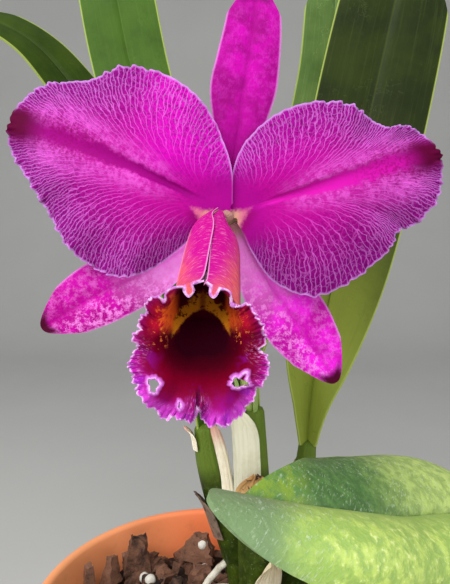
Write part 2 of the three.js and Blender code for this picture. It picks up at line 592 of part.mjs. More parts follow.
// The lip: a tube rolled round the column that opens into a frilled front lobe with a notch.
function lip() {
  const margin = curve(LIP_MARGIN.map(([right, up]) => new THREE.Vector3(right, up, LIP_FRONT)));
  const sheet = blade((u, v) => {
    const rows = LIP_HOOPS.map((hoop) => hoopPoint(hoop, v));
    rows.push(margin.getPoint(v));
    const { x, y, z } = curve(rows).getPoint(u);
    const frilled = smoothstep(u, 0.74, 1) * smoothstep(v, 0.08, 0.2) * smoothstep(1 - v, 0.08, 0.2);
    const [slow, quick] = FRILL.waves.map((count) => Math.sin(2 * Math.PI * count * v));
    const cleft = 1.2 * smoothstep(u, 0.6, 1) * Math.exp(-(((v - 0.52) / 0.03) ** 2));
    return inBloom(x, y, z + FRILL.depth * frilled * (slow + 0.5 * quick) - cleft);
  }, { rows: 9, columns: 54, thickness: LIP_THICKNESS });
  return LIP_LOOPS.reduce((rest, [right, up, wide, high]) => {
    const hole = new THREE.CylinderGeometry(1, 1, 30, 8).scale(wide, 1, high);
    return rest.subtract(solidOf(hole.translate(...inBloom(right, up, LIP_FRONT).toArray())));
  }, sheet);
}

function column(grow = 0) {
  const points = COLUMN.map(([right, up, forward, radius]) => {
    const { x, y, z } = inBloom(right, up, forward);
    return [x, y, z, radius];
  });
  return stalk(points, { rows: 6, sides: 9, grow });
}

function antherCap() {
  const cap = new THREE.SphereGeometry(ANTHER_CAP.radius, 9, 5);
  return solidOf(cap.translate(...inBloom(...ANTHER_CAP.at).toArray())).subtract(column(GAP));
}

// ---------------------------------------------------------------- assembly
const orchid = new THREE.Group();

function add(name, solid, material) {
  const mesh = new THREE.Mesh(geometryOf(largest(solid)), material);
  mesh.name = name;
  orchid.add(mesh);
}

const bulbNames = Object.keys(PSEUDOBULBS);
const wideBulb = Object.fromEntries(bulbNames.map((name) => [name, pseudobulb(name, GAP)]));
const wideRhizome = rhizome(GAP);
const wideStem = flowerStem(GAP);
const wideShoots = wasm.Manifold.union([wideRhizome, ...Object.values(wideBulb)]);
const wideRoots = ROOTS.map((points) => root(points, GAP));

add("pot", pot(), FINISH.pot);
add("bark_mix", barkMix(wasm.Manifold.union([wideShoots, ...wideRoots])), FINISH.bark);
add("rhizome", rhizome(), FINISH.rhizome);
ROOTS.forEach((points, i) => add(`root_${i + 1}`, root(points).subtract(wideShoots), FINISH.root));
for (const name of bulbNames) {
  add(`pseudobulb_${name}`, pseudobulb(name).subtract(wideRhizome), FINISH.bulb);
  add(`leaf_${name}`, leaf(LEAVES[name]).subtract(wideBulb[name]), FINISH.leaf);
}
for (const [name, wrap] of Object.entries(SHEATHS)) {
  add(name, sheath(wrap), /brown|dry/.test(name) ? FINISH.driedPaper : FINISH.paper);
}
add("sheath_strip", strap(STRIP, { rows: 8, columns: 4, thickness: SHEATH_THICKNESS }), FINISH.paper);
add("spathe", spathe().subtract(wideBulb.middle), FINISH.stem);
add("flower_stem", flowerStem().subtract(wideBulb.middle), FINISH.stem);
for (const [name, shape] of Object.entries(SEPALS)) add(name, sepal(shape).subtract(wideStem), FINISH.sepal);
add("petal_left", petal(PETAL_LEFT).subtract(wideStem), FINISH.petal);
add("petal_right", petal(PETAL_RIGHT).subtract(wideStem), FINISH.petal);
add("lip", lip(), FINISH.lip);
add("column", column().subtract(wideStem), FINISH.column);
add("anther_cap", antherCap(), FINISH.column);

export default orchid;
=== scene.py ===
# %% [markdown]
# # A potted cattleya orchid in flower
# The plant is one bloom of broad frilled petals round a dark frilled lip, strap leaves one to a
# pseudobulb, papery old sheaths, and a plastic pot of bark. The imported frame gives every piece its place
# and size; this script gives each piece its fine surface and its finish. Lengths are in millimetres and
# are turned into metres as each mesh is made.

import math

import bpy
import numpy as np
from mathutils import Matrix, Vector, noise


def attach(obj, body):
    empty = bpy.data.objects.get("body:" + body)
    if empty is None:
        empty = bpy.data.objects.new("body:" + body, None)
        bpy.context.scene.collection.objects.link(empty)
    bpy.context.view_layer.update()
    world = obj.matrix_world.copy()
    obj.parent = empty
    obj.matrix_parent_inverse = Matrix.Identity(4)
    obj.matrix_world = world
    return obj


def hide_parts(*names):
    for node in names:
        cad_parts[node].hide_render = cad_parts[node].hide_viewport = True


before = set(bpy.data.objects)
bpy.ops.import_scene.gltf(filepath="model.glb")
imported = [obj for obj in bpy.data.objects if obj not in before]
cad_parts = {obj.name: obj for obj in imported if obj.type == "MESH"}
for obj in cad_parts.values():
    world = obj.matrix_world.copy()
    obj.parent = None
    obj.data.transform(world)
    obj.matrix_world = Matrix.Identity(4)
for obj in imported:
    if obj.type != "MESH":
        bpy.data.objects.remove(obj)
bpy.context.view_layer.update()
print("the frame holds", len(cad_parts), "pieces")

# %% [markdown]
# The bloom hangs in front of the plant, and everything in it is easiest to place from its own centre:
# so far to the right, so far up and so far forward. The pot is measured from the middle of its foot.
# SHEETS holds how thick each thin piece is, and points closer than SEAM are merged.

# %% Driving dimensions
MM = 0.001
BLOOM = np.array([6.0, -45.0, 288.0])
POT = {
    "height": 130, "foot": 52, "rim": 75, "wall": 3, "floor": 4, "collar": 25, "rim_wall": 4.4,
    "rim_drop": 2.5, "collar_step": 2.6,
}
BARK = {"edge": 109, "crown": 113, "chips": 18, "crumbs": 230, "prills": 4, "seed": 20, "bed": 3}
SHEETS = {
    "petal": 0.6, "sepal": 0.9, "lip": 0.5, "leaf": 1.6, "sheath": 0.4, "strip": 0.5, "spathe": 0.5,
}
SEAM = 0.02

# %% [markdown]
# ## The camera
# The plant is seen from a little above the bloom, looking slightly down, so that the pot's mouth shows
# below the flower and the leaf tops run out of the view.

# %% Place the camera
CAMERA_AT = (5, -230, 290)
CAMERA_TILT = 8
LENS = 37
camera = bpy.data.objects.new("camera", bpy.data.cameras.new("camera"))
bpy.context.scene.collection.objects.link(camera)
camera.location = Vector(CAMERA_AT) * MM
camera.rotation_euler = (math.radians(90 - CAMERA_TILT), 0, 0)
camera.data.lens = LENS
camera.data.clip_start = 0.01
bpy.context.scene.camera = camera
print("the camera stands at", CAMERA_AT, "mm")

# %% [markdown]
# ## Curves and easing
# Grown things have no straight edges. Every outline, midrib and stalk is a smooth curve through a few
# points, and numbers such as a leaf's half width pass smoothly through a few values in the same way.


# %% Smooth curves
def curve_legs(stops, share):
    """The stops of a curve with one more at each end, and the leg and part of it at each share."""
    stops = np.concatenate([[2 * stops[0] - stops[1]], stops, [2 * stops[-1] - stops[-2]]])
    way = np.clip(share, 0, 1) * (len(stops) - 3)
    leg = np.minimum(way.astype(int), len(stops) - 4)
    return stops, leg, (way - leg)[:, None]


def between(a, b, c, d, part):
    """A part of the way from b to c, on a smooth curve that comes from a and goes on to d."""
    bend = (2 * a - 5 * b + 4 * c - d) * part**2 + (3 * b - 3 * c + d - a) * part**3
    return 0.5 * (2 * b + (c - a) * part + bend)


def spline(points, share):
    """Points of a smooth curve through a list of places, at shares from 0 to 1 of its way."""
    stops = np.asarray(points, float)
    stops, leg, part = curve_legs(stops.reshape(len(stops), -1), share)
    return between(*(stops[leg + i] for i in range(4)), part)


def along(values, share):
    """A number that passes smoothly through a list of values."""
    return spline(values, share)[:, 0]


def unit(vectors):
    return vectors / np.maximum(np.linalg.norm(vectors, axis=1, keepdims=True), 1e-9)


def heading(points, share):
    """The way a smooth curve runs, at each share."""
    return unit(spline(points, share + 1e-4) - spline(points, share - 1e-4))


def lerp(start, end, share):
    return start + (end - start) * share


def ease(value, low, high):
    """0 below low, 1 above high, and a smooth step between."""
    part = np.clip((value - low) / (high - low), 0, 1)
    return part * part * (3 - 2 * part)


def in_bloom(right, up, forward):
    """The place, or places, so far right of the bloom's centre, above it and in front of it."""
    return np.stack([BLOOM[0] + right, BLOOM[1] - forward, BLOOM[2] + up], axis=-1)


# %% [markdown]
# ## Making a piece
# A petal, leaf or sheath starts as a flat grid. Each of its points is moved to its place on the curved
# surface, and a Solidify modifier then gives the sheet its thickness. The grid brings a UV map of its
# own, which runs along the blade and across it, so veins can follow the blade. A stalk starts as a
# cylinder whose upright edges are cut into rings.


# %% Helpers for meshes
def only(piece):
    """Select one piece and nothing else."""
    bpy.ops.object.select_all(action="DESELECT")
    piece.select_set(True)
    bpy.context.view_layer.objects.active = piece


def places(piece):
    flat = np.empty(len(piece.data.vertices) * 3, np.float32)
    piece.data.vertices.foreach_get("co", flat)
    return flat.reshape(-1, 3).astype(float)


def move_to(piece, points):
    """Put every vertex of a piece at its point, given in millimetres."""
    flat = (np.asarray(points) * MM).astype(np.float32).ravel()
    piece.data.vertices.foreach_set("co", flat)
    piece.data.update()


def apply(piece, modifier):
    only(piece)
    bpy.ops.object.modifier_apply(modifier=modifier.name)


def note(piece, name, values):
    """Keep a number or a vector at each vertex for the finish to read."""
    values = np.asarray(values, np.float32)
    kind, field = ("FLOAT", "value") if values.ndim == 1 else ("FLOAT_VECTOR", "vector")
    layer = piece.data.attributes.new(name, kind, "POINT")
    layer.data.foreach_set(field, values.ravel())


def add(operator, name, **sizes):
    """Add a primitive at its size, with nothing else selected."""
    bpy.ops.object.select_all(action="DESELECT")
    operator(**sizes)
    piece = bpy.context.object
    piece.name = name
    return piece


def select_none(kind):
    """Clear the selection inside the active mesh, so that code can choose its vertices or edges."""
    bpy.ops.object.mode_set(mode="EDIT")
    bpy.ops.mesh.select_mode(type=kind)
    bpy.ops.mesh.select_all(action="DESELECT")
    bpy.ops.object.mode_set(mode="OBJECT")


def close_seams(piece):
    """Merge the points that lie on each other, and turn every face outwards."""
    only(piece)
    bpy.ops.object.mode_set(mode="EDIT")
    bpy.ops.mesh.select_all(action="SELECT")
    bpy.ops.mesh.remove_doubles(threshold=SEAM * MM)
    bpy.ops.mesh.normals_make_consistent(inside=False)
    bpy.ops.object.mode_set(mode="OBJECT")


def new_grid(name, rows, columns):
    """A flat grid, and the share along (u) and across (v) of each of its points."""
    piece = add(bpy.ops.mesh.primitive_grid_add, name, x_subdivisions=rows, y_subdivisions=columns, size=1)
    flat = places(piece)
    return piece, flat[:, 0] + 0.5, flat[:, 1] + 0.5


def thicken(piece, thickness, thin_edge=None, offset=0):
    """Give a sheet its wall; thin_edge is the share of it left where the group 'full' fades."""
    wall = piece.modifiers.new("wall", "SOLIDIFY")
    wall.thickness = thickness * MM
    wall.offset = offset
    if thin_edge is not None:
        wall.vertex_group = "full"
        wall.thickness_vertex_group = thin_edge
    apply(piece, wall)


def new_tube(name, rings, sides):
    """An upright tube, with the share up it, the angle round it and the share outwards of each point."""
    cylinder = {"vertices": sides, "radius": 1, "depth": 1, "end_fill_type": "TRIFAN"}
    piece = add(bpy.ops.mesh.primitive_cylinder_add, name, **cylinder)
    select_none("EDGE")
    ends = [vertex.co.z for vertex in piece.data.vertices]
    for edge in piece.data.edges:
        low, high = (ends[i] for i in edge.vertices)
        edge.select = abs(high - low) > 0.5
    bpy.ops.object.mode_set(mode="EDIT")
    bpy.ops.mesh.subdivide(number_cuts=rings - 1)
    bpy.ops.object.mode_set(mode="OBJECT")
    flat = places(piece)
    angle = np.arctan2(flat[:, 1], flat[:, 0])
    return piece, flat[:, 2] + 0.5, angle, np.hypot(flat[:, 0], flat[:, 1])


made = []


def hand_over(piece, node, material, sharp=60):
    """Finish a piece: its material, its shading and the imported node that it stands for."""
    piece.data.materials.clear()
    piece.data.materials.append(material)
    only(piece)
    bpy.ops.object.shade_smooth_by_angle(angle=math.radians(sharp))
    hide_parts(node)
    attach(piece, "root")
    made.append(piece)
    print(f"{piece.name}: {len(piece.data.polygons)} faces for {node}")


# %% [markdown]
# ## Writing finishes as sums
# A finish is a network of shader nodes. Written as nodes it is long and hard to read, so a small class
# wraps a socket and lets Python's own operators add the Math nodes: 1 - mask * 0.5 reads as it works.


# %% A socket that can be reckoned with
class Value:
    """A shader socket that takes part in plain arithmetic."""

    def __init__(self, finish, socket):
        self.finish = finish
        self.socket = socket

    def __add__(self, other):
        return self.finish.maths("ADD", self, other)

    def __sub__(self, other):
        return self.finish.maths("SUBTRACT", self, other)

    def __rsub__(self, other):
        return self.finish.maths("SUBTRACT", other, self)

    def __mul__(self, other):
        return self.finish.maths("MULTIPLY", self, other)

    def __truediv__(self, other):
        return self.finish.maths("DIVIDE", self, other)

    def __pow__(self, other):
        return self.finish.maths("POWER", self, other)

    def __abs__(self):
        return self.finish.maths("ABSOLUTE", self)

    __radd__ = __add__
    __rmul__ = __mul__


def paint(code):
    """A colour as linear light, from the usual six digits."""
    parts = [int(code[i : i + 2], 16) / 255 for i in (1, 3, 5)]
    linear = [c / 12.92 if c <= 0.04045 else ((c + 0.055) / 1.055) ** 2.4 for c in parts]
    return (*linear, 1.0)


# %% [markdown]
# The finish itself has one method that adds any node: its settings first, then the numbers or links of
# its sockets. Everything else here is a short name for a node that the finishes use often.


# %% A finish
class Finish:
    """A material, and the nodes that vary it."""

    def __init__(self, name, **constants):
        self.material = bpy.data.materials.new(name)
        self.material.use_nodes = True
        self.tree = self.material.node_tree
        self.shader = self.tree.nodes["Principled BSDF"]
        for socket, amount in constants.items():
            self.shader.inputs[socket.replace("_", " ")].default_value = amount

    def node(self, kind, settings, inputs):
        added = self.tree.nodes.new(kind)
        for name, setting in settings.items():
            setattr(added, name, setting)
        for socket, value in inputs.items():
            self.plug(added.inputs[socket], value)
        return added

    def plug(self, socket, value):
        if isinstance(value, Value):
            self.tree.links.new(value.socket, socket)
        else:
            socket.default_value = value

    def maths(self, operation, *terms):
        added = self.node("ShaderNodeMath", {"operation": operation}, dict(enumerate(terms)))
        return Value(self, added.outputs[0])

    def smooth(self, value, low, high):
        settings = {"interpolation_type": "SMOOTHSTEP"}
        inputs = {"Value": value, "From Min": low, "From Max": high}
        return Value(self, self.node("ShaderNodeMapRange", settings, inputs).outputs[0])

    def fade(self, value, low, high):
        """1 below low and 0 above high."""
        return 1 - self.smooth(value, low, high)

    def mix(self, first, second, share):
        first, second = (paint(c) if isinstance(c, str) else c for c in (first, second))
        added = self.node("ShaderNodeMix", {"data_type": "RGBA"}, {0: share, 6: first, 7: second})
        return Value(self, added.outputs[2])

    def coats(self, colour, *coats):
        """Lay more colours over one, each by its share."""
        for coat, share in coats:
            colour = self.mix(colour, coat, share)
        return colour

    def ramp(self, value, stops):
        added = self.node("ShaderNodeValToRGB", {}, {"Fac": value})
        elements = added.color_ramp.elements
        while len(elements) < len(stops):
            elements.new(0.5)
        for element, (place, colour) in zip(elements, stops):
            element.position = place
            element.color = paint(colour)
        return Value(self, added.outputs[0])

    def object_place(self):
        return Value(self, self.node("ShaderNodeTexCoord", {}, {}).outputs["Object"])

    def blade_place(self):
        return self.parts(Value(self, self.node("ShaderNodeTexCoord", {}, {}).outputs["UV"]))

    def noted(self, name):
        """A number kept at the vertices."""
        added = self.node("ShaderNodeAttribute", {"attribute_name": name}, {})
        return Value(self, added.outputs["Fac"])

    def noted_place(self, name):
        """A vector kept at the vertices."""
        added = self.node("ShaderNodeAttribute", {"attribute_name": name}, {})
        return Value(self, added.outputs["Vector"])

    def parts(self, vector):
        added = self.node("ShaderNodeSeparateXYZ", {}, {0: vector})
        return [Value(self, output) for output in added.outputs]

    def joined(self, x, y, z=0.0):
        return Value(self, self.node("ShaderNodeCombineXYZ", {}, {0: x, 1: y, 2: z}).outputs[0])

    def noise(self, vector, scale, detail=2.0, rough=0.5):
        inputs = {"Vector": vector, "Scale": scale, "Detail": detail, "Roughness": rough}
        return Value(self, self.node("ShaderNodeTexNoise", {}, inputs).outputs[0])

    def cells(self, vector, scale, feature="DISTANCE_TO_EDGE"):
        added = self.node("ShaderNodeTexVoronoi", {"feature": feature}, {"Vector": vector, "Scale": scale})
        return Value(self, added.outputs["Distance"])

    def chance(self, value):
        """A random number that is the same wherever value is."""
        added = self.node("ShaderNodeTexWhiteNoise", {"noise_dimensions": "1D"}, {"W": value})
        return Value(self, added.outputs["Value"])

    def line(self, distance, width):
        """1 on a line and 0 off it."""
        return self.fade(distance, 0.35 * width, width)

    def relief(self, height):
        """Raise the surface by a height in millimetres."""
        added = self.node("ShaderNodeBump", {}, {"Strength": 1.0, "Distance": MM, "Height": height})
        self.plug(self.shader.inputs["Normal"], Value(self, added.outputs[0]))

    def set(self, socket, value):
        self.plug(self.shader.inputs[socket], value)

    def done(self, colour, height, rough=None):
        """Plug in the colour, the relief and the roughness, and give the material."""
        self.set("Base Color", colour)
        if rough is not None:
            self.set("Roughness", rough)
        self.relief(height)
        return self.material


# %% [markdown]
# ## The stage
# A pale floor that sweeps up into a backdrop well behind the plant keeps the background plain.

# %% Floor and backdrop
SWEEP = {"near": -900, "back": 900, "bend": 500, "top": 2200, "half_width": 2200}
BEND_FROM = 0.4
BEND_TO = 0.65
sweep, up_share, across_share = new_grid("sweep", 60, 2)
turn = np.clip((up_share - BEND_FROM) / (BEND_TO - BEND_FROM), 0, 1) * math.pi / 2
flat_part = np.clip(up_share / BEND_FROM, 0, 1)
wall_part = np.clip((up_share - BEND_TO) / (1 - BEND_TO), 0, 1)
sweep_y = lerp(SWEEP["near"], SWEEP["back"], flat_part) + SWEEP["bend"] * np.sin(turn)
sweep_z = SWEEP["bend"] * (1 - np.cos(turn)) + (SWEEP["top"] - SWEEP["bend"]) * wall_part
sweep_x = (2 * across_share - 1) * SWEEP["half_width"]
move_to(sweep, np.stack([sweep_x, sweep_y, sweep_z], axis=1))
only(sweep)
bpy.ops.object.shade_smooth()
backdrop = Finish("backdrop_paper", Roughness=0.9)
backdrop_grain = backdrop.noise(backdrop.object_place(), 6, 3)
backdrop.set("Base Color", backdrop.mix("#b9b8b4", "#c4c3bf", backdrop_grain))
sweep.data.materials.append(backdrop.material)
print("the sweep is", 2 * SWEEP["half_width"], "mm wide")

# %% [markdown]
# ## Light
# A petal looks best in the soft light of an open greenhouse roof: one large lamp above and in front, a
# weaker one from each side, the weakest from straight in front, and a pale sky all round.

# %% Lamps and sky
LAMPS = {
    "roof": ((-250, -500, 900), 700, 7.4),
    "left": ((-900, -500, 450), 600, 4.2),
    "right": ((900, -300, 500), 600, 3.0),
    "front": ((100, -950, 250), 700, 2.2),
}
LAMP_AIM = (0, 0, 250)
SKY_COLOUR = (0.92, 0.96, 1.0, 1.0)
SKY_STRENGTH = 0.38
for lamp_name, (lamp_at, lamp_size, watts) in LAMPS.items():
    lamp = bpy.data.objects.new(lamp_name, bpy.data.lights.new(lamp_name, "AREA"))
    bpy.context.scene.collection.objects.link(lamp)
    lamp.data.shape = "DISK"
    lamp.data.size = lamp_size * MM
    lamp.data.energy = watts
    lamp.location = Vector(lamp_at) * MM
    lamp.rotation_euler = (Vector(LAMP_AIM) - Vector(lamp_at)).to_track_quat("-Z", "Y").to_euler()
sky = bpy.data.worlds.new("sky")
bpy.context.scene.world = sky
sky.use_nodes = True
sky.node_tree.nodes["Background"].inputs["Color"].default_value = SKY_COLOUR
sky.node_tree.nodes["Background"].inputs["Strength"].default_value = SKY_STRENGTH
bpy.context.scene.view_settings.view_transform = "Standard"
print(len(LAMPS), "lamps")

# %% [markdown]
# ## The petals
# A petal's veins leave its narrow claw, run out beside the midrib and bend to meet the margin at right
# angles. The surface is built from those very lines: u runs out along a vein and v counts the veins
# round the margin. The midrib is a groove between two low domes, and the margin is waved and crisped.

# %% Petal outlines
PETAL_LEFT = {
    "claw": [(1.2, 1.4), (-1.6, -1.4)],
    "forward": 1.6,
    "midrib": 0.46,
    "heading": 153,
    "outline": [
        (1.4, 3.3), (0.8, 14.5), (-4.2, 27.6), (-10.5, 35.8), (-20, 41.8), (-30.5, 43.4), (-40, 40.2),
        (-49.5, 39.2), (-57, 37.6), (-64, 32.8), (-66.8, 25), (-66, 17.5), (-60.5, 9.5), (-57, 3),
        (-52.5, -5), (-47, -12.5), (-39, -18), (-30.5, -19), (-21.5, -15.4), (-13, -8.6), (-7.8, -3.4),
        (-3.4, -2.4),
    ],
}
PETAL_RIGHT = {
    "claw": [(-0.8, 1.4), (1.8, -1.2)],
    "forward": 0.2,
    "midrib": 0.47,
    "heading": 18,
    "outline": [
        (0, 3.3), (2, 15), (6, 22.5), (14.5, 29.7), (25.5, 33.6), (36, 32.8), (42.5, 29), (48.5, 26.2),
        (54.5, 26.6), (60.5, 23.6), (65, 18), (66.4, 11), (64.6, 4.6), (58.5, -3), (52.5, -5.5),
        (49.5, -11.6), (39.5, -20.4), (26.5, -25.3), (14.5, -21), (7.6, -12), (5, -6.4), (2.8, -2.8),
    ],
}
print("the petals' margins have", len(PETAL_LEFT["outline"]), "points each")


# %% Shape a petal
VEIN_STEP = 0.001


def vein_points(shape, reach, v):
    """Points of a flat petal, at a share of the way out along the vein v."""
    above, below = (np.array(point, float) for point in shape["claw"])
    start = lerp(above[None], below[None], v[:, None])
    end = spline(shape["outline"], v)
    angle = math.radians(shape["heading"])
    ahead = np.array([math.cos(angle), math.sin(angle)])
    length = np.linalg.norm(end - start, axis=1, keepdims=True)
    bend = start + 0.72 * length * ahead
    part = reach[:, None]
    return (1 - part) ** 2 * start + 2 * (1 - part) * part * bend + part**2 * end


def waves(v, count):
    return np.sin(2 * math.pi * count * v)


def ripple(v, count, seed):
    """A wave round the margin whose crests are not quite even."""
    drift = 0.35 * np.sin(2 * math.pi * (3.1 * v + seed)) + 0.2 * np.sin(2 * math.pi * (7.7 * v + 2 * seed))
    return np.sin(2 * math.pi * count * v + 2 * math.pi * drift)


def petal(name, node, shape, material):
    piece, reach, v = new_grid(name, 110, 420)
    flat = vein_points(shape, reach, v)
    rim = vein_points(shape, np.ones_like(reach), v)
    middle = vein_points(shape, reach, np.full_like(v, shape["midrib"]))
    far = np.linalg.norm(flat, axis=1)
    off = np.linalg.norm(flat - middle, axis=1)
    edge = np.linalg.norm(rim - flat, axis=1)
    before, after = np.maximum(v - VEIN_STEP, 0), np.minimum(v + VEIN_STEP, 1)
    beside = vein_points(shape, reach, after) - vein_points(shape, reach, before)
    spread = np.linalg.norm(beside, axis=1) / (after - before)
    free = ease(far, 12, 30)
    dome = 3.4 * np.sin(math.pi * reach) * ease(far, 5, 26)
    groove = 1.0 * np.exp(-((off / 3) ** 2)) * ease(far, 6, 24) * (1 - reach**4)
    wave = 1.2 * ease(reach, 0.66, 1) * free * waves(v, 9)
    frilly = free * (0.35 + 0.65 * ease(ripple(v, 4, 0.7), -0.6, 0.6))
    crisp = (0.42 * ripple(v, 33, 0.2) + 0.3 * ripple(v, 71, 0.6)) * (1 - ease(edge, 0, 3.5)) * frilly
    scallop = (0.35 * ripple(v, 41, 0.45) + 0.3 * ripple(v, 87, 0.1)) * (1 - ease(edge, 0, 3)) * frilly
    outward = unit(rim - flat + 1e-6 * unit(rim))
    outward[edge < 0.05] = unit(rim)[edge < 0.05]
    flat = flat + outward * scallop[:, None]
    forward = shape["forward"] + dome - groove - 0.0009 * far**2 + wave + crisp
    move_to(piece, in_bloom(flat[:, 0], flat[:, 1], forward))
    note(piece, "span", np.stack([far, off, edge], axis=1))
    note(piece, "spread", spread)
    thicken(piece, SHEETS["petal"])
    hand_over(piece, node, material)


# %% [markdown]
# The colour of a petal lies in its veins. Pale pink lines leave the claw, part in two again and again on
# their way out, and are tied together by finer lines, over a ground that goes from hot magenta near the
# claw to purple at the margin. A vein that parts in two is a formula: the distance to one line becomes
# the distance to a pair that draws apart.


# %% Veins that part in two
def forks(finish, phase, reach, start, end):
    """The distance, in cells of phase, to a line that parts in two between start and end."""
    cell = finish.maths("FLOOR", phase)
    begin = start + (end - start) * 0.5 * finish.chance(cell)
    apart = 0.25 * finish.smooth(reach, begin, begin + 0.5 * (end - start))
    return abs(abs(phase - cell - 0.5) - apart)


def vein_net(finish, reach, v, spread, where, first, stages, width):
    """1 on the lines of a branching net of veins and 0 between them."""
    wobble = (finish.noise(where, 230, 2) - 0.5) * 1.6 + (finish.noise(where, 900, 2) - 0.5) * 0.4
    lines = None
    for stage, (start, end) in enumerate(stages):
        count = first * 2**stage
        phase = v * count + wobble * (1.7 * count) / (spread + 20)
        distance = forks(finish, phase, reach, start, end) * spread / count
        drawn = finish.line(distance, width)
        if lines is None:
            lines = drawn
        else:
            lines = lines + (drawn - lines) * finish.smooth(reach, start - 0.02, start)
    return lines


# %% [markdown]
# The midrib, a dark blotch at each tip and a pale wedge above the lip's throat lie over the veins. Each is
# a mask, made of the distances that were noted at the vertices and of noise that makes it ragged. The
# masks come first, and the colours are then laid on like coats of paint, each through its own mask.


# %% Petal finish
def from_bloom(finish, where):
    """How far right of the bloom's centre and how far above it a place lies, in millimetres."""
    x, _, z = finish.parts(where)
    return x * 1000 - float(BLOOM[0]), z * 1000 - float(BLOOM[2])


def petal_net(finish, where, far, off, grain, outer):
    """The branching veins and the finer ties between them, left out along the midrib and the claw."""
    reach, v, _ = finish.blade_place()
    stages = [(0.12, 0.4), (0.42, 0.68), (0.7, 0.9)]
    veins = vein_net(finish, reach, v, finish.noted("spread"), where, 21, stages, 0.2)
    bend = finish.noise(where, 420, 2)
    meshes = finish.joined(v * 100 + bend * 1.6, reach * 22 + bend * 1.6)
    ties = finish.line(finish.cells(meshes, 1.0), 0.06)
    shown = finish.smooth(off, 1.5, 7) * finish.smooth(far, 8, 20)
    shown = shown * (0.2 + 0.8 * finish.smooth(reach, 0.34, 0.7))
    return finish.maths("MAXIMUM", veins * (0.6 + 0.4 * grain), ties * (0.15 + 0.3 * outer)) * shown


def past_wedge(finish, aside, up, grain, cloud):
    """How far outside the pale wedge at the claw a place lies, in millimetres."""
    past_side = aside - 7.9 - (up - 0.8) * 0.55
    past_top = up - 0.2 - aside * 0.16
    past = finish.maths("MAXIMUM", finish.maths("MAXIMUM", past_side, past_top), -4.2 - up)
    return past + (grain - 0.5) * 2 + (cloud - 0.5) * 2


def petal_finish(name, midrib_colour):
    finish = Finish(name, Roughness=0.6, Specular_IOR_Level=0.04)
    where = finish.object_place()
    right, up = from_bloom(finish, where)
    reach, _, _ = finish.blade_place()
    far, off, edge = finish.parts(finish.noted_place("span"))
    cloud = finish.noise(where, 130, 4, 0.6)
    grain = finish.noise(where, 1200, 3, 0.6)
    outer = finish.smooth(reach, 0.42, 1.0)
    net = petal_net(finish, where, far, off, grain, outer)
    thread = finish.mix("#e04ccc", "#bc66be", finish.smooth(reach, 0.5, 0.97))
    # Painted light: beside the dorsal sepal the upper petal is painted a brighter magenta where it faces the
    # lamps, less so right of the centre.
    lit_beside_dorsal = finish.fade(abs(right), 16, 34) * finish.smooth(up, 4, 18)
    lit_beside_dorsal = lit_beside_dorsal * (1 - 0.7 * finish.smooth(right, 0, 6))
    # Painted highlight: a pale pink band on each side of the midrib groove, broken up by speckle.
    highlight_beside_midrib = finish.smooth(off + cloud * 3, 2.5, 6) * finish.fade(off + cloud * 6, 10, 22)
    highlight_beside_midrib = highlight_beside_midrib * finish.smooth(far, 14, 28) * finish.fade(reach, 0.78, 0.95)
    speckle = finish.smooth(finish.noise(where, 560, 4, 0.75) + cloud * 0.5, 0.64, 0.9)
    ragged = off + (cloud - 0.5) * 5 + (speckle - 0.5) * 1.6
    midrib = finish.fade(ragged + reach * 2, 2.2, 4.6) * finish.smooth(far, 4, 10)
    blotches = finish.smooth(far, 34, 52) * finish.fade(off + (cloud - 0.5) * 8, 3, 9)
    tip = finish.fade(off + cloud * 4, 4, 8.5) * finish.fade(edge + grain * 5, 6, 16)
    aside = abs(right + 2)
    past = past_wedge(finish, aside, up, grain, cloud)
    wedge = finish.mix("#d8a088", "#cc6488", finish.smooth(aside + cloud * 2, 4.5, 8))
    colour = finish.coats(
        finish.mix("#aa0484", "#7e0872", outer),
        ("#c804ac", lit_beside_dorsal * 0.85),
        ("#5c0052", finish.smooth(grain, 0.46, 0.64) * (0.25 + 0.45 * outer)),
        (thread, net * 0.95),
        ("#dc5ccc", highlight_beside_midrib * (0.1 + 0.55 * speckle)),
        (midrib_colour, midrib * (0.9 - 0.35 * outer)),
        ("#86045e", blotches * (0.1 + 0.6 * finish.smooth(grain, 0.47, 0.6))),
        ("#c48ad8", finish.fade(edge, 0.15, 0.9) * 0.75),
        ("#52002c", tip),
        ("#9c0480", finish.fade(far, 8, 15) * 0.85),
        ("#8a0462", finish.fade(past, 1, 4.5) * finish.fade(up, 0, 2) * 0.75),
        (wedge, finish.fade(past, -0.9, 1.1)),
    )
    return finish.done(colour, net * 0.1 + grain * 0.05 + cloud * 0.2, 0.5 + 0.2 * grain)


# %% Make the petals
petal("left_petal", "petal_left", PETAL_LEFT, petal_finish("petal_left_velvet", "#8e0472"))
petal("right_petal", "petal_right", PETAL_RIGHT, petal_finish("petal_right_velvet", "#c2129c"))

# %% [markdown]
# ## Straps: sepals, leaves and a rolled old sheath
# A leaf is a strap along its midrib. Each half leaves the midrib at the angle of its fold and bends
# back by its curl, and the tip is rounded by drawing each half back. The sepals are the same form.


# %% Shape a strap
def strap_points(shape, u, v):
    """Points of a folded strap, with the distance to its midrib and to its margin."""
    q = 2 * v - 1
    round_by, power, curl = (np.where(q < 0, *shape[key]) for key in ("round", "power", "curl"))
    s = u * (1 - round_by * np.abs(q) ** power - shape["notch"] * (1 - np.abs(q)) ** 4)
    tangent = heading(shape["spine"], s)
    across = unit(np.cross(tangent, unit(spline(shape["face"], s))))
    up = unit(np.cross(across, tangent))
    start = np.radians(along(shape["fold"], s))
    bend = np.radians(curl * lerp(0.3, 1, ease(s, 0.05, 0.45)))
    share = np.abs(q)
    half_width = along(shape["half_width"], s)
    out = half_width * (np.sin(start) - np.sin(start - bend * share)) / bend
    rise = half_width * (np.cos(start - bend * share) - np.cos(start)) / bend
    points = spline(shape["spine"], s) + across * (np.sign(q) * out)[:, None] + up * rise[:, None]
    return points, half_width * share, half_width * (1 - share), up


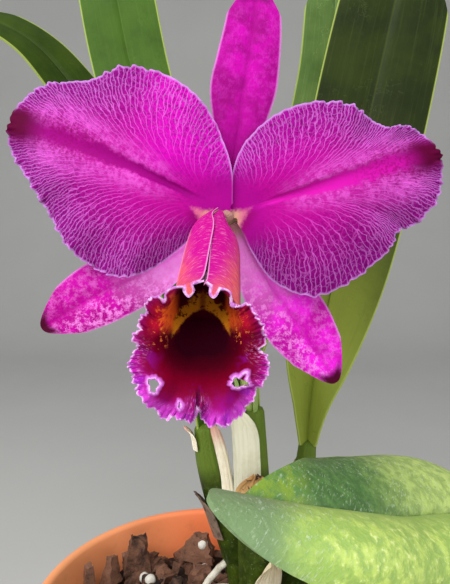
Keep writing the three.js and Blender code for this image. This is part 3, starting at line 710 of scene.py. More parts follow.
def strap(name, node, shape, material, thickness, rows=150, columns=48, detail=None, thin_edge=0.5):
    """A folded strap that thins towards its margins, with a fine detail along its upward side."""
    piece, u, v = new_grid(name, rows, columns)
    points, off, edge, up = strap_points(shape, u, v)
    if detail is not None:
        points = points + up * detail(u, v, off, edge)[:, None]
    move_to(piece, points)
    note(piece, "span", np.stack([u * 100, off, edge], axis=1))
    group = piece.vertex_groups.new(name="full")
    aside = np.round(np.abs(2 * v - 1), 3)
    for weight in np.unique(aside):
        members = np.nonzero(aside == weight)[0]
        group.add(members.tolist(), float(1 - weight**2), "REPLACE")
    thicken(piece, thickness, thin_edge)
    hand_over(piece, node, material)


# %% [markdown]
# ### Sepals
# The three sepals stand behind the petals. They are narrower and smoother, and saturated magenta with pale
# powdery dapples, which lie thicker on one side of the midrib. Their thin inner ends are paler, and a
# painted glow, an emission, stands in for the light that comes through them.

# %% Sepal lines
SEPALS = {
    "sepal_dorsal": {
        "spine": [
            (0, 2, -3.2), (1, 13, -4.6), (2.9, 25, -6), (4.4, 37, -7), (6, 46, -7.6), (7.6, 57, -8.6),
            (8.4, 69, -10.5),
        ],
        "half_width": [3.4, 5, 7.6, 10.2, 9.9, 8.8, 7.4],
        "round": [0.12, 0.12],
    },
    "sepal_left": {
        "spine": [
            (-2.4, -1.4, -3.6), (-14, -10.6, -6), (-27.5, -18.6, -7), (-41, -25.2, -6.6),
            (-50.5, -30.6, -6.2), (-60.5, -37, -7),
        ],
        "half_width": [3, 6.4, 9.6, 10.4, 8.8, 6.4],
        "round": [0.2, 0.2],
    },
    "sepal_right": {
        "spine": [
            (2.6, -2.2, -3.6), (8, -13, -6), (15, -24.5, -7), (22.5, -35, -6.6), (29, -44.3, -6.2),
            (35.6, -55, -7),
        ],
        "half_width": [3, 7.2, 10.4, 11, 9, 6.4],
        "round": [0.2, 0.2],
    },
}
SEPAL_FORM = {
    "fold": [16, 14, 12],
    "face": [(0, -1, 0), (0, -1, 0)],
    "curl": [26, 26],
    "power": [2.2, 2.2],
    "notch": 0,
}


# %% Sepal finish
def sepal_finish(name, deep, bright, pale, mottle, inner_end, painted_glow, deep_side):
    finish = Finish(name, Roughness=0.55, Specular_IOR_Level=0.06, Emission_Strength=painted_glow)
    where = finish.object_place()
    u, v, _ = finish.blade_place()
    _, off, edge = finish.parts(finish.noted_place("span"))
    cloud = finish.noise(where, 110, 4, 0.6)
    fleck = finish.noise(where, 900, 4, 0.7)
    strand = finish.noise(finish.joined(u * 34, v * 30), 1.0, 4, 0.7)
    bright_part = finish.smooth(cloud, 0.38, 0.62) * (1 - 0.5 * finish.smooth(off, 3, 9))
    puff = finish.noise(where, 500, 4, 0.75)
    dapple = finish.smooth(puff + strand * 0.3 + fleck * 0.4, 0.79, 0.98)
    dapple = dapple * finish.smooth(off + cloud * 8, 2, 8)
    if deep_side:
        half = v if deep_side == "upper" else 1 - v
        dapple = dapple * (1 - finish.smooth(half, 0.46, 0.62) * 0.65)
    inner = finish.fade(u + cloud * 0.2, 0.28, 0.7) * (0.6 + 0.4 * fleck)
    # Painted glow: an emission on the pale inner ends stands in for light shining through the thin tissue.
    finish.set("Emission Color", finish.mix("#000000", "#b048a8", inner * finish.smooth(u, 0.05, 0.2)))
    colour = finish.coats(
        finish.mix(deep, bright, bright_part),
        (pale, dapple * mottle),
        (deep, finish.smooth(fleck, 0.52, 0.66) * 0.5),
        (inner_end, inner),
        (deep, finish.fade(off, 0.3, 1.6) * 0.4),
        ("#dc9ae0", finish.fade(edge, 0.15, 0.8) * 0.5),
        ("#480226", finish.smooth(u + cloud * 0.05, 0.95, 1.0) * finish.fade(off, 2, 6)),
        ("#b87c84", finish.fade(u, 0.03, 0.12)),
    )
    return finish.done(colour, strand * 0.2 + fleck * 0.08, 0.45 + 0.2 * fleck)


# %% Make the sepals
# The sixth value is the strength of the painted glow (emission) on the inner ends.
SEPAL_COLOURS = {
    "sepal_dorsal": ("#940076", "#bc009e", "#d23cbe", 0.26, "#9a0078", 0.0, None),
    "sepal_left": ("#a80284", "#cc08aa", "#f08ae4", 0.9, "#ffb8f2", 1.3, "upper"),
    "sepal_right": ("#b80a9c", "#ee20dc", "#f08ee6", 0.8, "#e886d6", 0.1, "lower"),
}
for sepal_name, sepal_shape in SEPALS.items():
    spine = in_bloom(*np.array(sepal_shape["spine"], float).T)
    shape = {**SEPAL_FORM, **sepal_shape, "spine": spine}
    velvet = sepal_finish(sepal_name + "_velvet", *SEPAL_COLOURS[sepal_name])
    strap(
        sepal_name + "_blade", sepal_name, shape, velvet, SHEETS["sepal"], rows=120, columns=40
    )

# %% [markdown]
# ## The lip
# The lip is the third petal, rolled into a tube round the column and opened in front into a frilled
# lobe with a notch. It is lofted from hoops: v runs round from the seam on top and u runs out from the
# base. Each hoop has its place from the bloom's centre, its half width, its half height and its lean. The
# margin turns back on itself in small loops, so two rings and a slit show through the lobe.

# %% Lip hoops and margin
LIP_HOOPS = [
    (-3.2, -1.2, 3.8, 2, 2.6, 0), (-5, -4.8, 8.5, 5.1, 4.6, 0), (-4.6, -9.6, 15, 7.3, 6.4, 0),
    (-5.2, -17.2, 25, 8.1, 8.4, 0), (-6, -25.4, 34, 8.9, 10.6, 0), (-7, -31.8, 37.4, 11.4, 15.2, 1),
]
LIP_MARGIN = [
    (-5.6, -15.2), (-8.6, -16.8), (-11.8, -17.3), (-15.2, -17.9), (-18, -19.2), (-20.6, -21.6),
    (-22.2, -25), (-23.4, -29), (-24.2, -33.6), (-25.4, -38), (-24.4, -42.4), (-21.4, -47),
    (-17.4, -51.2), (-13.4, -51.6), (-10.2, -52.2), (-8.6, -49.8), (-6, -52.8), (-1.6, -53), (3, -51),
    (6.4, -46.4), (9.2, -41), (10, -36.6), (9.4, -32), (8.8, -27), (7, -23), (4.2, -20), (1.2, -18.4),
    (-1.6, -17.8), (-4, -17.4), (-6.2, -17.1),
]
LIP_FRONT = 37
LIP_MIDDLE = (-7.5, -36)

# %% [markdown]
# The margin above is the plain one. The real edge wanders in and out of it in small curls: two hang over
# the throat on either side of the seam, and a cleft parts the lobe in two below.

# %% The crisped edge
LIP_EDGE = [
    (-6.2, -15.9), (-7.8, -16.5), (-9, -17.1), (-8.6, -18.5), (-9.9, -20), (-10.9, -19.1), (-11.1, -17.6),
    (-12.4, -17.3), (-14.4, -17.7), (-16, -19.1), (-16.1, -20.9), (-17, -20), (-19, -19.8), (-21.1, -22),
    (-20.8, -24.2), (-22.2, -25.1), (-22.9, -27.2), (-22.2, -28.2), (-23.8, -29), (-24.3, -31),
    (-22.9, -31.8), (-24.3, -34.6), (-25.3, -36.4), (-25.6, -38.5), (-24.6, -39.8), (-24.6, -41.7),
    (-23.2, -42.6), (-23.7, -43.8), (-21.8, -46.1), (-20.6, -48.7), (-18.6, -49.6), (-18, -51.5),
    (-15.9, -52.5), (-14.7, -50.9), (-12.5, -51.5), (-10.8, -51.8), (-10, -52.8), (-8.8, -51.6),
    (-8.4, -48.6), (-7.8, -48.4), (-7.4, -51.6), (-6.7, -52.5), (-4.9, -53.9), (-2.8, -52.6),
    (-1.3, -53.4), (0.6, -52.2), (3.5, -50.9), (4.2, -49.2), (5, -48.4), (6.6, -46), (7, -43.5),
    (8.4, -42.6), (9.1, -41.2), (10.2, -38), (9.4, -34.9), (7.6, -33.7), (9.3, -32.3), (9.3, -29.8),
    (8.4, -28.6), (9, -27.4), (7.7, -25.9), (6.2, -23.5), (4.6, -21.7), (2.8, -22.3), (0.5, -21.8),
    (0.7, -19.2), (-0.5, -18.1), (-2.2, -17.9), (-3, -19.4), (-3.9, -20.2), (-4.8, -19.2), (-4.5, -17.3),
    (-5.5, -16.3),
]
LIP_RINGS = [
    {"at": (-18.9, -42.1), "half": (1.3, 1.6), "turn": 0.4, "spike": 0},
    {"at": (2.65, -41.6), "half": (2.1, 1.15), "turn": 2.1, "spike": 2.2},
    {"at": (-12.4, -47.4), "half": (0.3, 0.85), "turn": 1.2, "spike": 0},
]
print("the lip's edge has", len(LIP_EDGE), "points and", len(LIP_RINGS), "holes")


# %% Match the two edges
def edge_stations(samples=1500):
    """The share round the plain margin that lies nearest to each point of the crisped edge."""
    steps = np.linspace(0, 1, samples)
    plain = spline(LIP_MARGIN, steps)
    edge = np.array(LIP_EDGE)
    length = np.concatenate([[0], np.cumsum(np.linalg.norm(np.diff(edge, axis=0), axis=1))])
    length /= length[-1]
    stations = []
    for point, share in zip(edge, length):
        distance = np.linalg.norm(plain - point, axis=1) + 100 * (np.abs(steps - share) > 0.12)
        stations.append(steps[np.argmin(distance)])
    stations[0], stations[-1] = 0.0, 1.0
    least = 0.4 * np.diff(length)
    for i in range(1, len(stations)):
        stations[i] = max(stations[i], stations[i - 1] + least[i - 1])
    stations[-1] = 1.0
    for i in range(len(stations) - 2, -1, -1):
        stations[i] = min(stations[i], stations[i + 1] - least[i])
    return np.array(stations)


EDGE_STATIONS = edge_stations()


def crisped_edge(v):
    share = np.interp(v, EDGE_STATIONS, np.linspace(0, 1, len(LIP_EDGE)))
    return spline(LIP_EDGE, share)


# %% Points of the lip
def hoop_points(hoop, v):
    """Points round one hoop, whose seam stands ajar on top towards the front."""
    right, up, forward, wide, high, tilt = hoop
    ajar = 4.4 * ease(forward, 12, 36)
    angle = math.pi / 2 + np.radians(lerp(ajar - 4, 361 - ajar, v))
    lap = 0.5 * (1 - ease(v, 0, 0.1)) - 0.5 * ease(v, 0.9, 1)
    across, rise = np.cos(angle), np.sin(angle)
    loop = [right + (wide + lap) * across, up + (high + lap) * rise, forward - tilt * rise]
    return np.stack(loop, axis=1)


def lip_points(u, v):
    """Points of the lip as (right, up, forward), before the crisping of its margin."""
    hoops = [hoop_points(hoop, v) for hoop in LIP_HOOPS]
    hoops.append(np.column_stack([spline(LIP_MARGIN, v), np.full(len(v), LIP_FRONT)]))
    stops, leg, part = curve_legs(np.stack(hoops), u)
    each = np.arange(len(v))
    return between(*(stops[leg + i, each] for i in range(4)), part)


# %% Shape the lip
TUBE_ROWS = 0.3
TUBE_END = 0.62
LOBE_FROM = 0.6
EDGE_SAMPLES = 900


def ring_gap(ring, points):
    """How far out points lie, as a share of the way to a hole's uneven edge, and their gap to it."""
    away = (points - np.array(ring["at"])) / np.array(ring["half"])
    angle = np.arctan2(away[:, 1], away[:, 0])
    turn = ring["turn"]
    edge = 1 + 0.16 * np.sin(3 * angle + turn) + 0.12 * np.sin(5 * angle + 2 * turn)
    edge = edge + 0.07 * np.sin(11 * angle)
    ratio = np.maximum(np.linalg.norm(away, axis=1) / edge, 1e-3)
    distance = np.linalg.norm(points - np.array(ring["at"]), axis=1)
    spike = ring["spike"] * np.exp(-(((angle - 1.2) / 0.3) ** 2))
    return ratio, np.abs(distance * (1 - 1 / ratio) - spike)


def distance_to_line(points, line, chunk=4000):
    parts = [points[i : i + chunk] for i in range(0, len(points), chunk)]
    return np.concatenate([np.linalg.norm(p[:, None] - line[None], axis=2).min(axis=1) for p in parts])


def make_lip(material):
    """Loft the lip, most of its rows on the lobe, frill its margin and cut out its holes."""
    piece, rows, v = new_grid("frilled_lip", 100, 440)
    u = np.interp(rows, [0, TUBE_ROWS, 1], [0, TUBE_END, 1])
    points = lip_points(u, v)
    shift = crisped_edge(v) - spline(LIP_MARGIN, v)
    points[:, :2] += shift * ease(u, 0.8, 1)[:, None]
    edge_line = crisped_edge(np.linspace(0, 1, EDGE_SAMPLES))
    edge = distance_to_line(points[:, :2], edge_line) + 6 * (1 - ease(u, LOBE_FROM, 0.8))
    open_part = ease(v, 0.08, 0.2) * ease(1 - v, 0.08, 0.2)
    crimp = (0.26 * ripple(v, 90, 0.2) + 0.16 * ripple(v, 131, 0.7)) * ease(edge, 1.6, 0) * open_part
    points[:, :2] += unit(crisped_edge(v) - np.array(LIP_MIDDLE)) * crimp[:, None]
    frill = 1.1 * ease(u, 0.74, 1) * open_part * (waves(v, 9) + 0.5 * waves(v, 14))
    frill += ease(edge, 3.5, 0) * (0.5 * ripple(v, 43, 0.3) + 0.35 * ripple(v, 89, 0.8)) * open_part
    frill -= 1.2 * ease(u, LOBE_FROM, 1) * np.exp(-(((v - 0.52) / 0.03) ** 2))
    points[:, 2] += frill
    inside_hole = np.zeros(len(v), bool)
    on_lobe = u > LOBE_FROM
    band = np.full(len(v), 9.0)
    for ring in LIP_RINGS:
        ratio, gap = ring_gap(ring, points[:, :2])
        within = (ratio < 1) & on_lobe
        inside_hole |= within
        centre = np.array(ring["at"])
        points[within, :2] = centre + (points[within, :2] - centre) / ratio[within, None]
        band = np.where(on_lobe, np.minimum(band, gap), band)
        points[:, 2] += 0.9 * np.exp(-((gap / 1.1) ** 2)) * on_lobe
    move_to(piece, in_bloom(*points.T))
    note(piece, "span", np.stack([u * 100, v * 100, edge], axis=1))
    note(piece, "band", band)
    only(piece)
    select_none("VERT")
    for vertex, chosen in zip(piece.data.vertices, inside_hole):
        vertex.select = bool(chosen)
    bpy.ops.object.mode_set(mode="EDIT")
    bpy.ops.mesh.delete(type="FACE")
    bpy.ops.object.mode_set(mode="OBJECT")
    sheet_points = len(piece.data.vertices)
    thicken(piece, SHEETS["lip"])
    shell = np.arange(len(piece.data.vertices)) < sheet_points
    note(piece, "shell", shell.astype(float))
    hand_over(piece, "lip", material)


# %% [markdown]
# The colours of the lip lie in zones rather than in veins: a nearly black heart that turns crimson and
# then magenta towards the margin, two ochre arms below the throat, flames of orange over red beside them,
# and a thin pale line along every edge.


# %% Lip finish
def lip_lobe(finish, right, up, edge, rays, strokes, cloud, fleck):
    """The colour of the open lobe."""
    across = abs(right + 7.1)
    low = 0 - up
    drift = (cloud - 0.5) * 7
    ragged = (fleck - 0.5) * 2.4
    heart = finish.maths("SQRT", across**3.0 * 0.0006 + (low - 31.5) * (low - 31.5) * 0.009)
    zones = [
        (0.2, "#22000a"), (0.35, "#40000f"), (0.5, "#66001c"), (0.64, "#760630"), (0.74, "#880a54"),
        (0.86, "#a21688"), (0.98, "#b42aac"),
    ]
    flame = finish.smooth(across, 5.2, 7) * finish.fade(across + ragged + drift * 0.3, 12, 16)
    flame = flame * finish.fade(low + ragged, 26.5, 30.5) * finish.smooth(edge + ragged, 0.8, 3.4)
    orange = finish.smooth(strokes + fleck * 0.6 - finish.smooth(across, 6, 13) * 0.34, 0.56, 0.7)
    spots = finish.smooth(fleck, 0.56, 0.62) * finish.smooth(across, 8, 9.5) * finish.fade(across, 12, 13.5)
    spots = spots * finish.smooth(low, 27, 28.5) * finish.fade(low, 32, 34)
    top = up + 20.5 + across * 0.7
    foot = up + 25.7 + across * across * 0.1
    above = finish.smooth(top, -0.6, 0.8) * finish.fade(across, 5.5, 7)
    gold = finish.smooth(foot + ragged * 0.6, 0, 0.9) * finish.fade(top + ragged * 1.1, -1, 0.7)
    gold = gold * finish.fade(across + ragged * 0.3, 6.6, 7.8)
    gold = gold * (0.35 + 0.65 * finish.smooth(across, 0.2, 1.4))
    strand = finish.smooth(fleck + finish.smooth(top, -3, 0.5) * 0.16, 0.57, 0.69)
    streaks = finish.smooth(rays, 0.5, 0.68) * finish.fade(edge, 1, 4.5) * finish.smooth(low, 28, 34)
    bright = finish.fade(edge + ragged * 0.5, 1.2, 4.2) * finish.smooth(low, 40, 46)
    bright = bright * finish.smooth(abs(right + 7.9), 1, 4)
    violet = finish.smooth(cloud, 0.5, 0.62) * finish.fade(edge, 2, 8) * finish.smooth(low, 30, 38)
    cleft = finish.fade(abs(right + 7.9), 0.2, 0.9) * finish.smooth(low, 42.5, 45)
    return finish.coats(
        finish.ramp(heart * 0.5 + drift * 0.02, zones),
        (finish.mix("#980e26", "#d4541c", orange), flame * 0.94),
        ("#d06a2c", spots * 0.8),
        ("#3c0412", above),
        (finish.mix("#ae6a14", "#4a1c06", strand), gold * 0.94),
        ("#e094e0", streaks * 0.55),
        ("#d048cc", bright * 0.6),
        ("#8414a4", violet * 0.6),
        ("#3c0226", cleft * 0.75),
    )


def lip_tube(finish, seam, round_tube, along_tube, cloud, cross_lines):
    """The colour of the tube's outer skin: hot pink along the seam and salmon down its flanks."""
    flank = finish.smooth(seam + cloud * 14 + along_tube * 0.42, 33, 52)
    pale_side = finish.fade(abs(round_tube - 23), 2, 7) * finish.fade(along_tube, 50, 70)
    return finish.coats(
        finish.mix("#b81482", "#d8605c", flank),
        ("#e69072", finish.smooth(seam + cloud * 14 + along_tube * 0.3, 40, 54) * 0.6),
        ("#b0107c", finish.smooth(cross_lines, 0.5, 0.64) * 0.6),
        ("#f49cc4", finish.fade(cross_lines, 0.34, 0.46) * 0.34),
        ("#a03474", finish.fade(abs(round_tube - 70), 8, 14) * 0.6),
        ("#eca4c8", pale_side * 0.6),
        ("#e89cd2", finish.fade(seam, 0.2, 0.8) * 0.75),
    )


def lip_finish():
    finish = Finish("lip_velvet", Roughness=0.6, Specular_IOR_Level=0.01)
    where = finish.object_place()
    right, up = from_bloom(finish, where)
    along_tube, round_tube, edge = finish.parts(finish.noted_place("span"))
    cloud = finish.noise(where, 160, 4, 0.6)
    fleck = finish.noise(where, 800, 3, 0.65)
    rays = finish.noise(finish.joined(round_tube * 3.4, along_tube * 0.3), 1.0, 3, 0.6)
    cross_lines = finish.noise(finish.joined(round_tube * 0.22, along_tube * 1.3), 1.0, 4, 0.65)
    seam = 50 - abs(round_tube - 50)
    strokes = finish.noise(finish.joined(round_tube * 2.6, along_tube * 0.22, fleck * 0.6), 1.0, 4, 0.7)
    lobe = lip_lobe(finish, right, up, edge, rays, strokes, cloud, fleck)
    tube = lip_tube(finish, seam, round_tube, along_tube, cloud, cross_lines)
    front = finish.smooth(along_tube, 72, 84) * finish.smooth(seam, 7, 9)
    band = finish.noted("band")
    hem = finish.fade(band + (fleck - 0.5) * 0.8, 0.5, 1.1)
    rim = finish.maths("MINIMUM", edge, band + 0.1)
    pale_line = finish.mix("#cc7ad0", "#eec0ee", finish.smooth(fleck, 0.4, 0.6))
    colour = finish.coats(
        tube,
        (lobe, finish.maths("MAXIMUM", front, finish.noted("shell"))),
        ("#c462c8", hem * 0.8),
        (pale_line, finish.fade(rim + (fleck - 0.5) * 0.8, 0.15, 0.65) * 0.95),
    )
    height = rays * 0.12 * finish.fade(edge, 2, 6) + cross_lines * 0.16 + fleck * 0.03
    return finish.done(colour, height, 0.5 + 0.25 * fleck)


make_lip(lip_finish())

# %% [markdown]
# ## Stalks: column, stem, pseudobulbs, rhizome and roots
# Each stalk follows its own middle line, with a radius at each point of it. Its rings are carried along
# the line without twist, so the furrows of a pseudobulb run straight up it.


# %% Shape a stalk
def carried_sides(points, count=200):
    """A side vector at even steps along a line, carried without twist."""
    steps = np.linspace(0, 1, count)
    tangents = heading(points, steps)
    upright = np.array([0.0, 1.0, 0.0]) if abs(tangents[0][1]) <= 0.9 else np.array([0.0, 0.0, -1.0])
    side = np.cross(upright, tangents[0])
    sides = []
    for tangent in tangents:
        side = side - np.dot(side, tangent) * tangent
        side = side / np.linalg.norm(side)
        sides.append(side)
    return steps, np.array(sides)


def middle_line(points):
    """The (x, y, z) of a list of (x, y, z, radius) points."""
    return np.array([point[:3] for point in points], float)


def round_line(line, t, side, front, radius, angle):
    """Points at a radius and an angle round a line, from its side axis towards its front axis."""
    aside = spline(line, t) + side * (radius * np.cos(angle))[:, None]
    return aside + front * (radius * np.sin(angle))[:, None]


def stalk(name, node, points, material, rings, sides, furrow=None, dome=0.03):
    """A round stalk along (x, y, z, radius) points, with a domed end at each end."""
    piece, t, angle, outward = new_tube(name, rings, sides)
    line = middle_line(points)
    steps, carried = carried_sides(line)
    tangent = heading(line, t)
    side = np.stack([np.interp(t, steps, carried[:, i]) for i in range(3)], axis=1)
    side = unit(side - tangent * np.sum(side * tangent, axis=1, keepdims=True))
    front = np.cross(tangent, side)
    radius = along([point[3] for point in points], t) * outward
    near_end = np.minimum(t, 1 - t) / dome
    radius = radius * np.sqrt(np.clip(1 - (1 - np.clip(near_end, 0, 1)) ** 2, 0.02, 1))
    if furrow is not None:
        radius = radius * furrow(t, angle)
    length = np.sum(np.linalg.norm(np.diff(spline(line, steps), axis=0), axis=1))
    move_to(piece, round_line(line, t, side, front, radius, angle))
    note(piece, "round", np.stack([np.cos(angle), np.sin(angle), t * length / 10], axis=1))
    note(piece, "climb", t)
    hand_over(piece, node, material, sharp=75)


# %% [markdown]
# ### The column
# The column stands inside the lip's tube and carries the anther cap at its tip. Only the cap and the
# dull pink end of the column show, in the throat.

# %% Column and anther cap
COLUMN = [
    (-1.6, -1.3, 3.6, 1.4), (-3.2, -4.8, 9, 2.1), (-3.8, -9.2, 16.5, 2.5), (-4.2, -13, 25, 2.6),
    (-4.8, -14.9, 28.6, 2.2),
]
ANTHER_CAP = {"at": (-5.1, -16, 30.6), "radius": 2}


def column_finish(name, base, blush):
    finish = Finish(name, Roughness=0.35, Coat_Weight=0.15)
    where = finish.object_place()
    cloud = finish.noise(where, 350, 3, 0.6)
    return finish.done(finish.mix(base, blush, finish.smooth(cloud, 0.4, 0.65)), cloud * 0.3)


# %% Make the column and its cap
column_line = [(*in_bloom(right, up, forward), radius) for right, up, forward, radius in COLUMN]
column_flesh = column_finish("column_flesh", "#a86a86", "#7c2450")
stalk(
    "column_stalk", "column", column_line, column_flesh, 40, 48,
    furrow=lambda t, angle: 1 + 0.12 * np.cos(2 * angle) * ease(t, 0.3, 0.9),
)
cap = add(bpy.ops.mesh.primitive_uv_sphere_add, "anther_hood", segments=28, ring_count=16, radius=1)
ball = places(cap)
swell = ANTHER_CAP["radius"] * (1 - 0.14 * np.exp(-((ball[:, 0] / 0.16) ** 2)) * (ball[:, 1] < 0.4))
move_to(cap, in_bloom(*ANTHER_CAP["at"]) + ball * swell[:, None] * np.array([1.0, 0.8, 0.95]))
hand_over(cap, "anther_cap", column_finish("anther_flesh", "#b88ca2", "#8c4468"))

# %% [markdown]
# ### Stem, pseudobulbs, rhizome and roots
# A pseudobulb is a swollen green stem with furrows lengthwise and, where its sheaths have gone, pale
# papery rings. Roots are white with a spongy skin.

# %% Lines of the stalks
PSEUDOBULBS = {
    "left": [
        (13, 9, 112, 4.6), (12.8, 8.5, 137, 7.1), (5, 8, 164, 6.8), (-1, 8, 186, 5.8), (-3.2, 8, 202, 4.4),
    ],
    "middle": [
        (18, -8, 112, 4.6), (18, -5.5, 140, 6.9), (16.8, -3, 168, 6.6), (16, -2.2, 190, 6),
        (15, -1, 213, 5.2),
    ],
    "right": [(35, 11, 112, 4.6), (35.5, 12, 140, 6.4), (38.4, 14, 168, 5), (40.4, 15, 192, 3.5)],
    "front": [(50, -19, 112, 4.6), (56.5, -24, 133, 6.9), (74, -35, 150.5, 6.4), (90, -43.5, 164, 4.4)],
    "back": [(15, 45, 112, 4.6), (15, 45.5, 138, 6.8), (15.2, 46, 164, 6), (15.4, 46, 188, 4)],
}
RHIZOME = [
    (14, 58, 109, 4), (15, 45, 110.5, 5), (14, 27, 111, 4.6), (13, 9, 111, 5.2), (18, -8, 111, 5.2),
    (33, -17, 111, 4.6), (50, -19, 111, 5.2), (58, -22, 109, 3.4),
]
RHIZOME_BRANCH = [(13, 9, 111, 5), (24, 11, 111, 4.6), (35, 11, 111, 5.2), (43, 12, 109.5, 3.4)]
ROOTS = [
    [(13, 27, 112, 2.1), (4, 24, 117, 2.1), (-6, 24, 113, 2.1), (-14, 25, 103, 2), (-18, 26, 92, 1.6)],
    [
        (5.6, 7, 141, 1.4), (1.6, 6, 137.5, 1.5), (-4, 5, 130, 1.5), (-9, 4, 119, 1.5), (-12, 4, 108, 1.5),
        (-13, 4, 97, 1.2),
    ],
    [(17, -8, 113, 2.2), (9, -15, 117, 2.2), (1, -24, 113, 2.1), (-5, -30, 103, 2), (-8, -33, 91, 1.6)],
    [(31, -17, 113, 2.1), (29, -27, 117, 2.1), (25, -38, 112, 2), (23, -44, 102, 1.9), (22, -46, 91, 1.5)],
    [(36, 13, 113, 2.2), (41, 23, 117, 2.1), (43, 32, 112, 2), (44, 38, 103, 1.9), (44, 40, 93, 1.5)],
]
STEM = [
    (14.4, -3.2, 210, 2.5), (12.6, -5, 226, 2.2), (8, -7, 246, 2.1), (5.5, -11, 266, 2.4),
    (5.5, -19, 281, 3), (6, -31, 287.5, 3.2), (5.8, -40, 287.8, 2.9), (5.4, -48, 287.4, 1.7),
]


# %% Furrows and scars
def bulb_furrows(t, angle):
    """Six soft ribs with finer creases between them."""
    fine = 0.012 * np.cos(17 * angle + 3 * t) + 0.008 * np.cos(29 * angle)
    return 1 + 0.03 * np.cos(6 * angle) + fine * ease(t, 0.1, 0.3)


def root_bumps(t, angle):
    """A root swells and shrinks as it grows."""
    return 1 + 0.05 * np.sin(40 * t + 2 * np.cos(angle)) + 0.03 * np.cos(3 * angle + 9 * t)


def rings_of_scars(t, angle):
    """The rhizome is ringed where its old scales sat."""
    return 1 + 0.06 * np.abs(np.sin(14 * math.pi * t)) ** 6 + 0.02 * np.cos(5 * angle)


# %% Stalk finishes
def green_stalk_finish(name, deep, fresh, pale, pale_amount, far_end=None):
    finish = Finish(name, Roughness=0.45, Specular_IOR_Level=0.12, Coat_Weight=0.02)
    where = finish.object_place()
    streak = finish.noise(finish.noted_place("round"), 5.0, 4, 0.65)
    cloud = finish.noise(where, 110, 3, 0.6)
    speckle = finish.cells(where, 900, "F1")
    colour = finish.coats(
        finish.mix(deep, fresh, finish.smooth(cloud, 0.35, 0.7)),
        (pale, finish.smooth(streak, 0.52, 0.8) * pale_amount),
        ("#d8dcb8", finish.fade(speckle, 0.06, 0.16) * 0.35),
    )
    if far_end is not None:
        colour = finish.mix(colour, far_end, finish.smooth(finish.noted("climb"), 0.64, 0.76))
    return finish.done(colour, streak * 0.5, 0.36 + 0.3 * cloud)


def root_finish():
    finish = Finish("root_velamen", Roughness=0.85)
    where = finish.object_place()
    streak = finish.noise(finish.noted_place("round"), 7.0, 4, 0.65)
    grime = finish.noise(where, 200, 4, 0.6)
    colour = finish.coats("#d8d2bc", ("#f0ecdd", streak), ("#8a7350", finish.smooth(grime, 0.5, 0.72) * 0.7))
    return finish.done(colour, streak * 0.4 + grime * 0.4)


# %% Make the stalks
bulb_green = green_stalk_finish("pseudobulb_skin", "#26340a", "#40500f", "#7e8c48", 0.4, far_end="#5e7426")
stem_green = green_stalk_finish("stem_skin", "#7f9a48", "#a9bd68", "#cdd6a0", 0.4, far_end="#b4847a")
rhizome_skin = green_stalk_finish("rhizome_skin", "#4e5424", "#76713a", "#b8ac7c", 0.7)
root_skin = root_finish()
for bulb_name, bulb_line in PSEUDOBULBS.items():
    stalk(
        f"bulb_{bulb_name}", f"pseudobulb_{bulb_name}", bulb_line, bulb_green, 60, 72,
        furrow=bulb_furrows,
    )
for number, root_line in enumerate(ROOTS, 1):
    stalk(
        f"aerial_root_{number}", f"root_{number}", root_line, root_skin, 50, 20, furrow=root_bumps
    )
stalk(
    "bloom_stem", "flower_stem", STEM, stem_green, 70, 28,
    furrow=lambda t, angle: 1 + 0.04 * np.cos(3 * angle) * ease(t, 0.3, 0.7),
)
stalk("creeping_rhizome", "rhizome", RHIZOME, rhizome_skin, 110, 32, furrow=rings_of_scars)
stalk("rhizome_branch", "rhizome", RHIZOME_BRANCH, rhizome_skin, 40, 32, furrow=rings_of_scars)

# %% [markdown]
# ## Leaves
# Each leaf is a thick leathery strap with a sunken midrib above and a keel below, faint parallel veins,
# a thin pale margin and a little dust. The broad front leaf lies across the pot, folded like a gutter,
# and catches the light, so it is the palest.

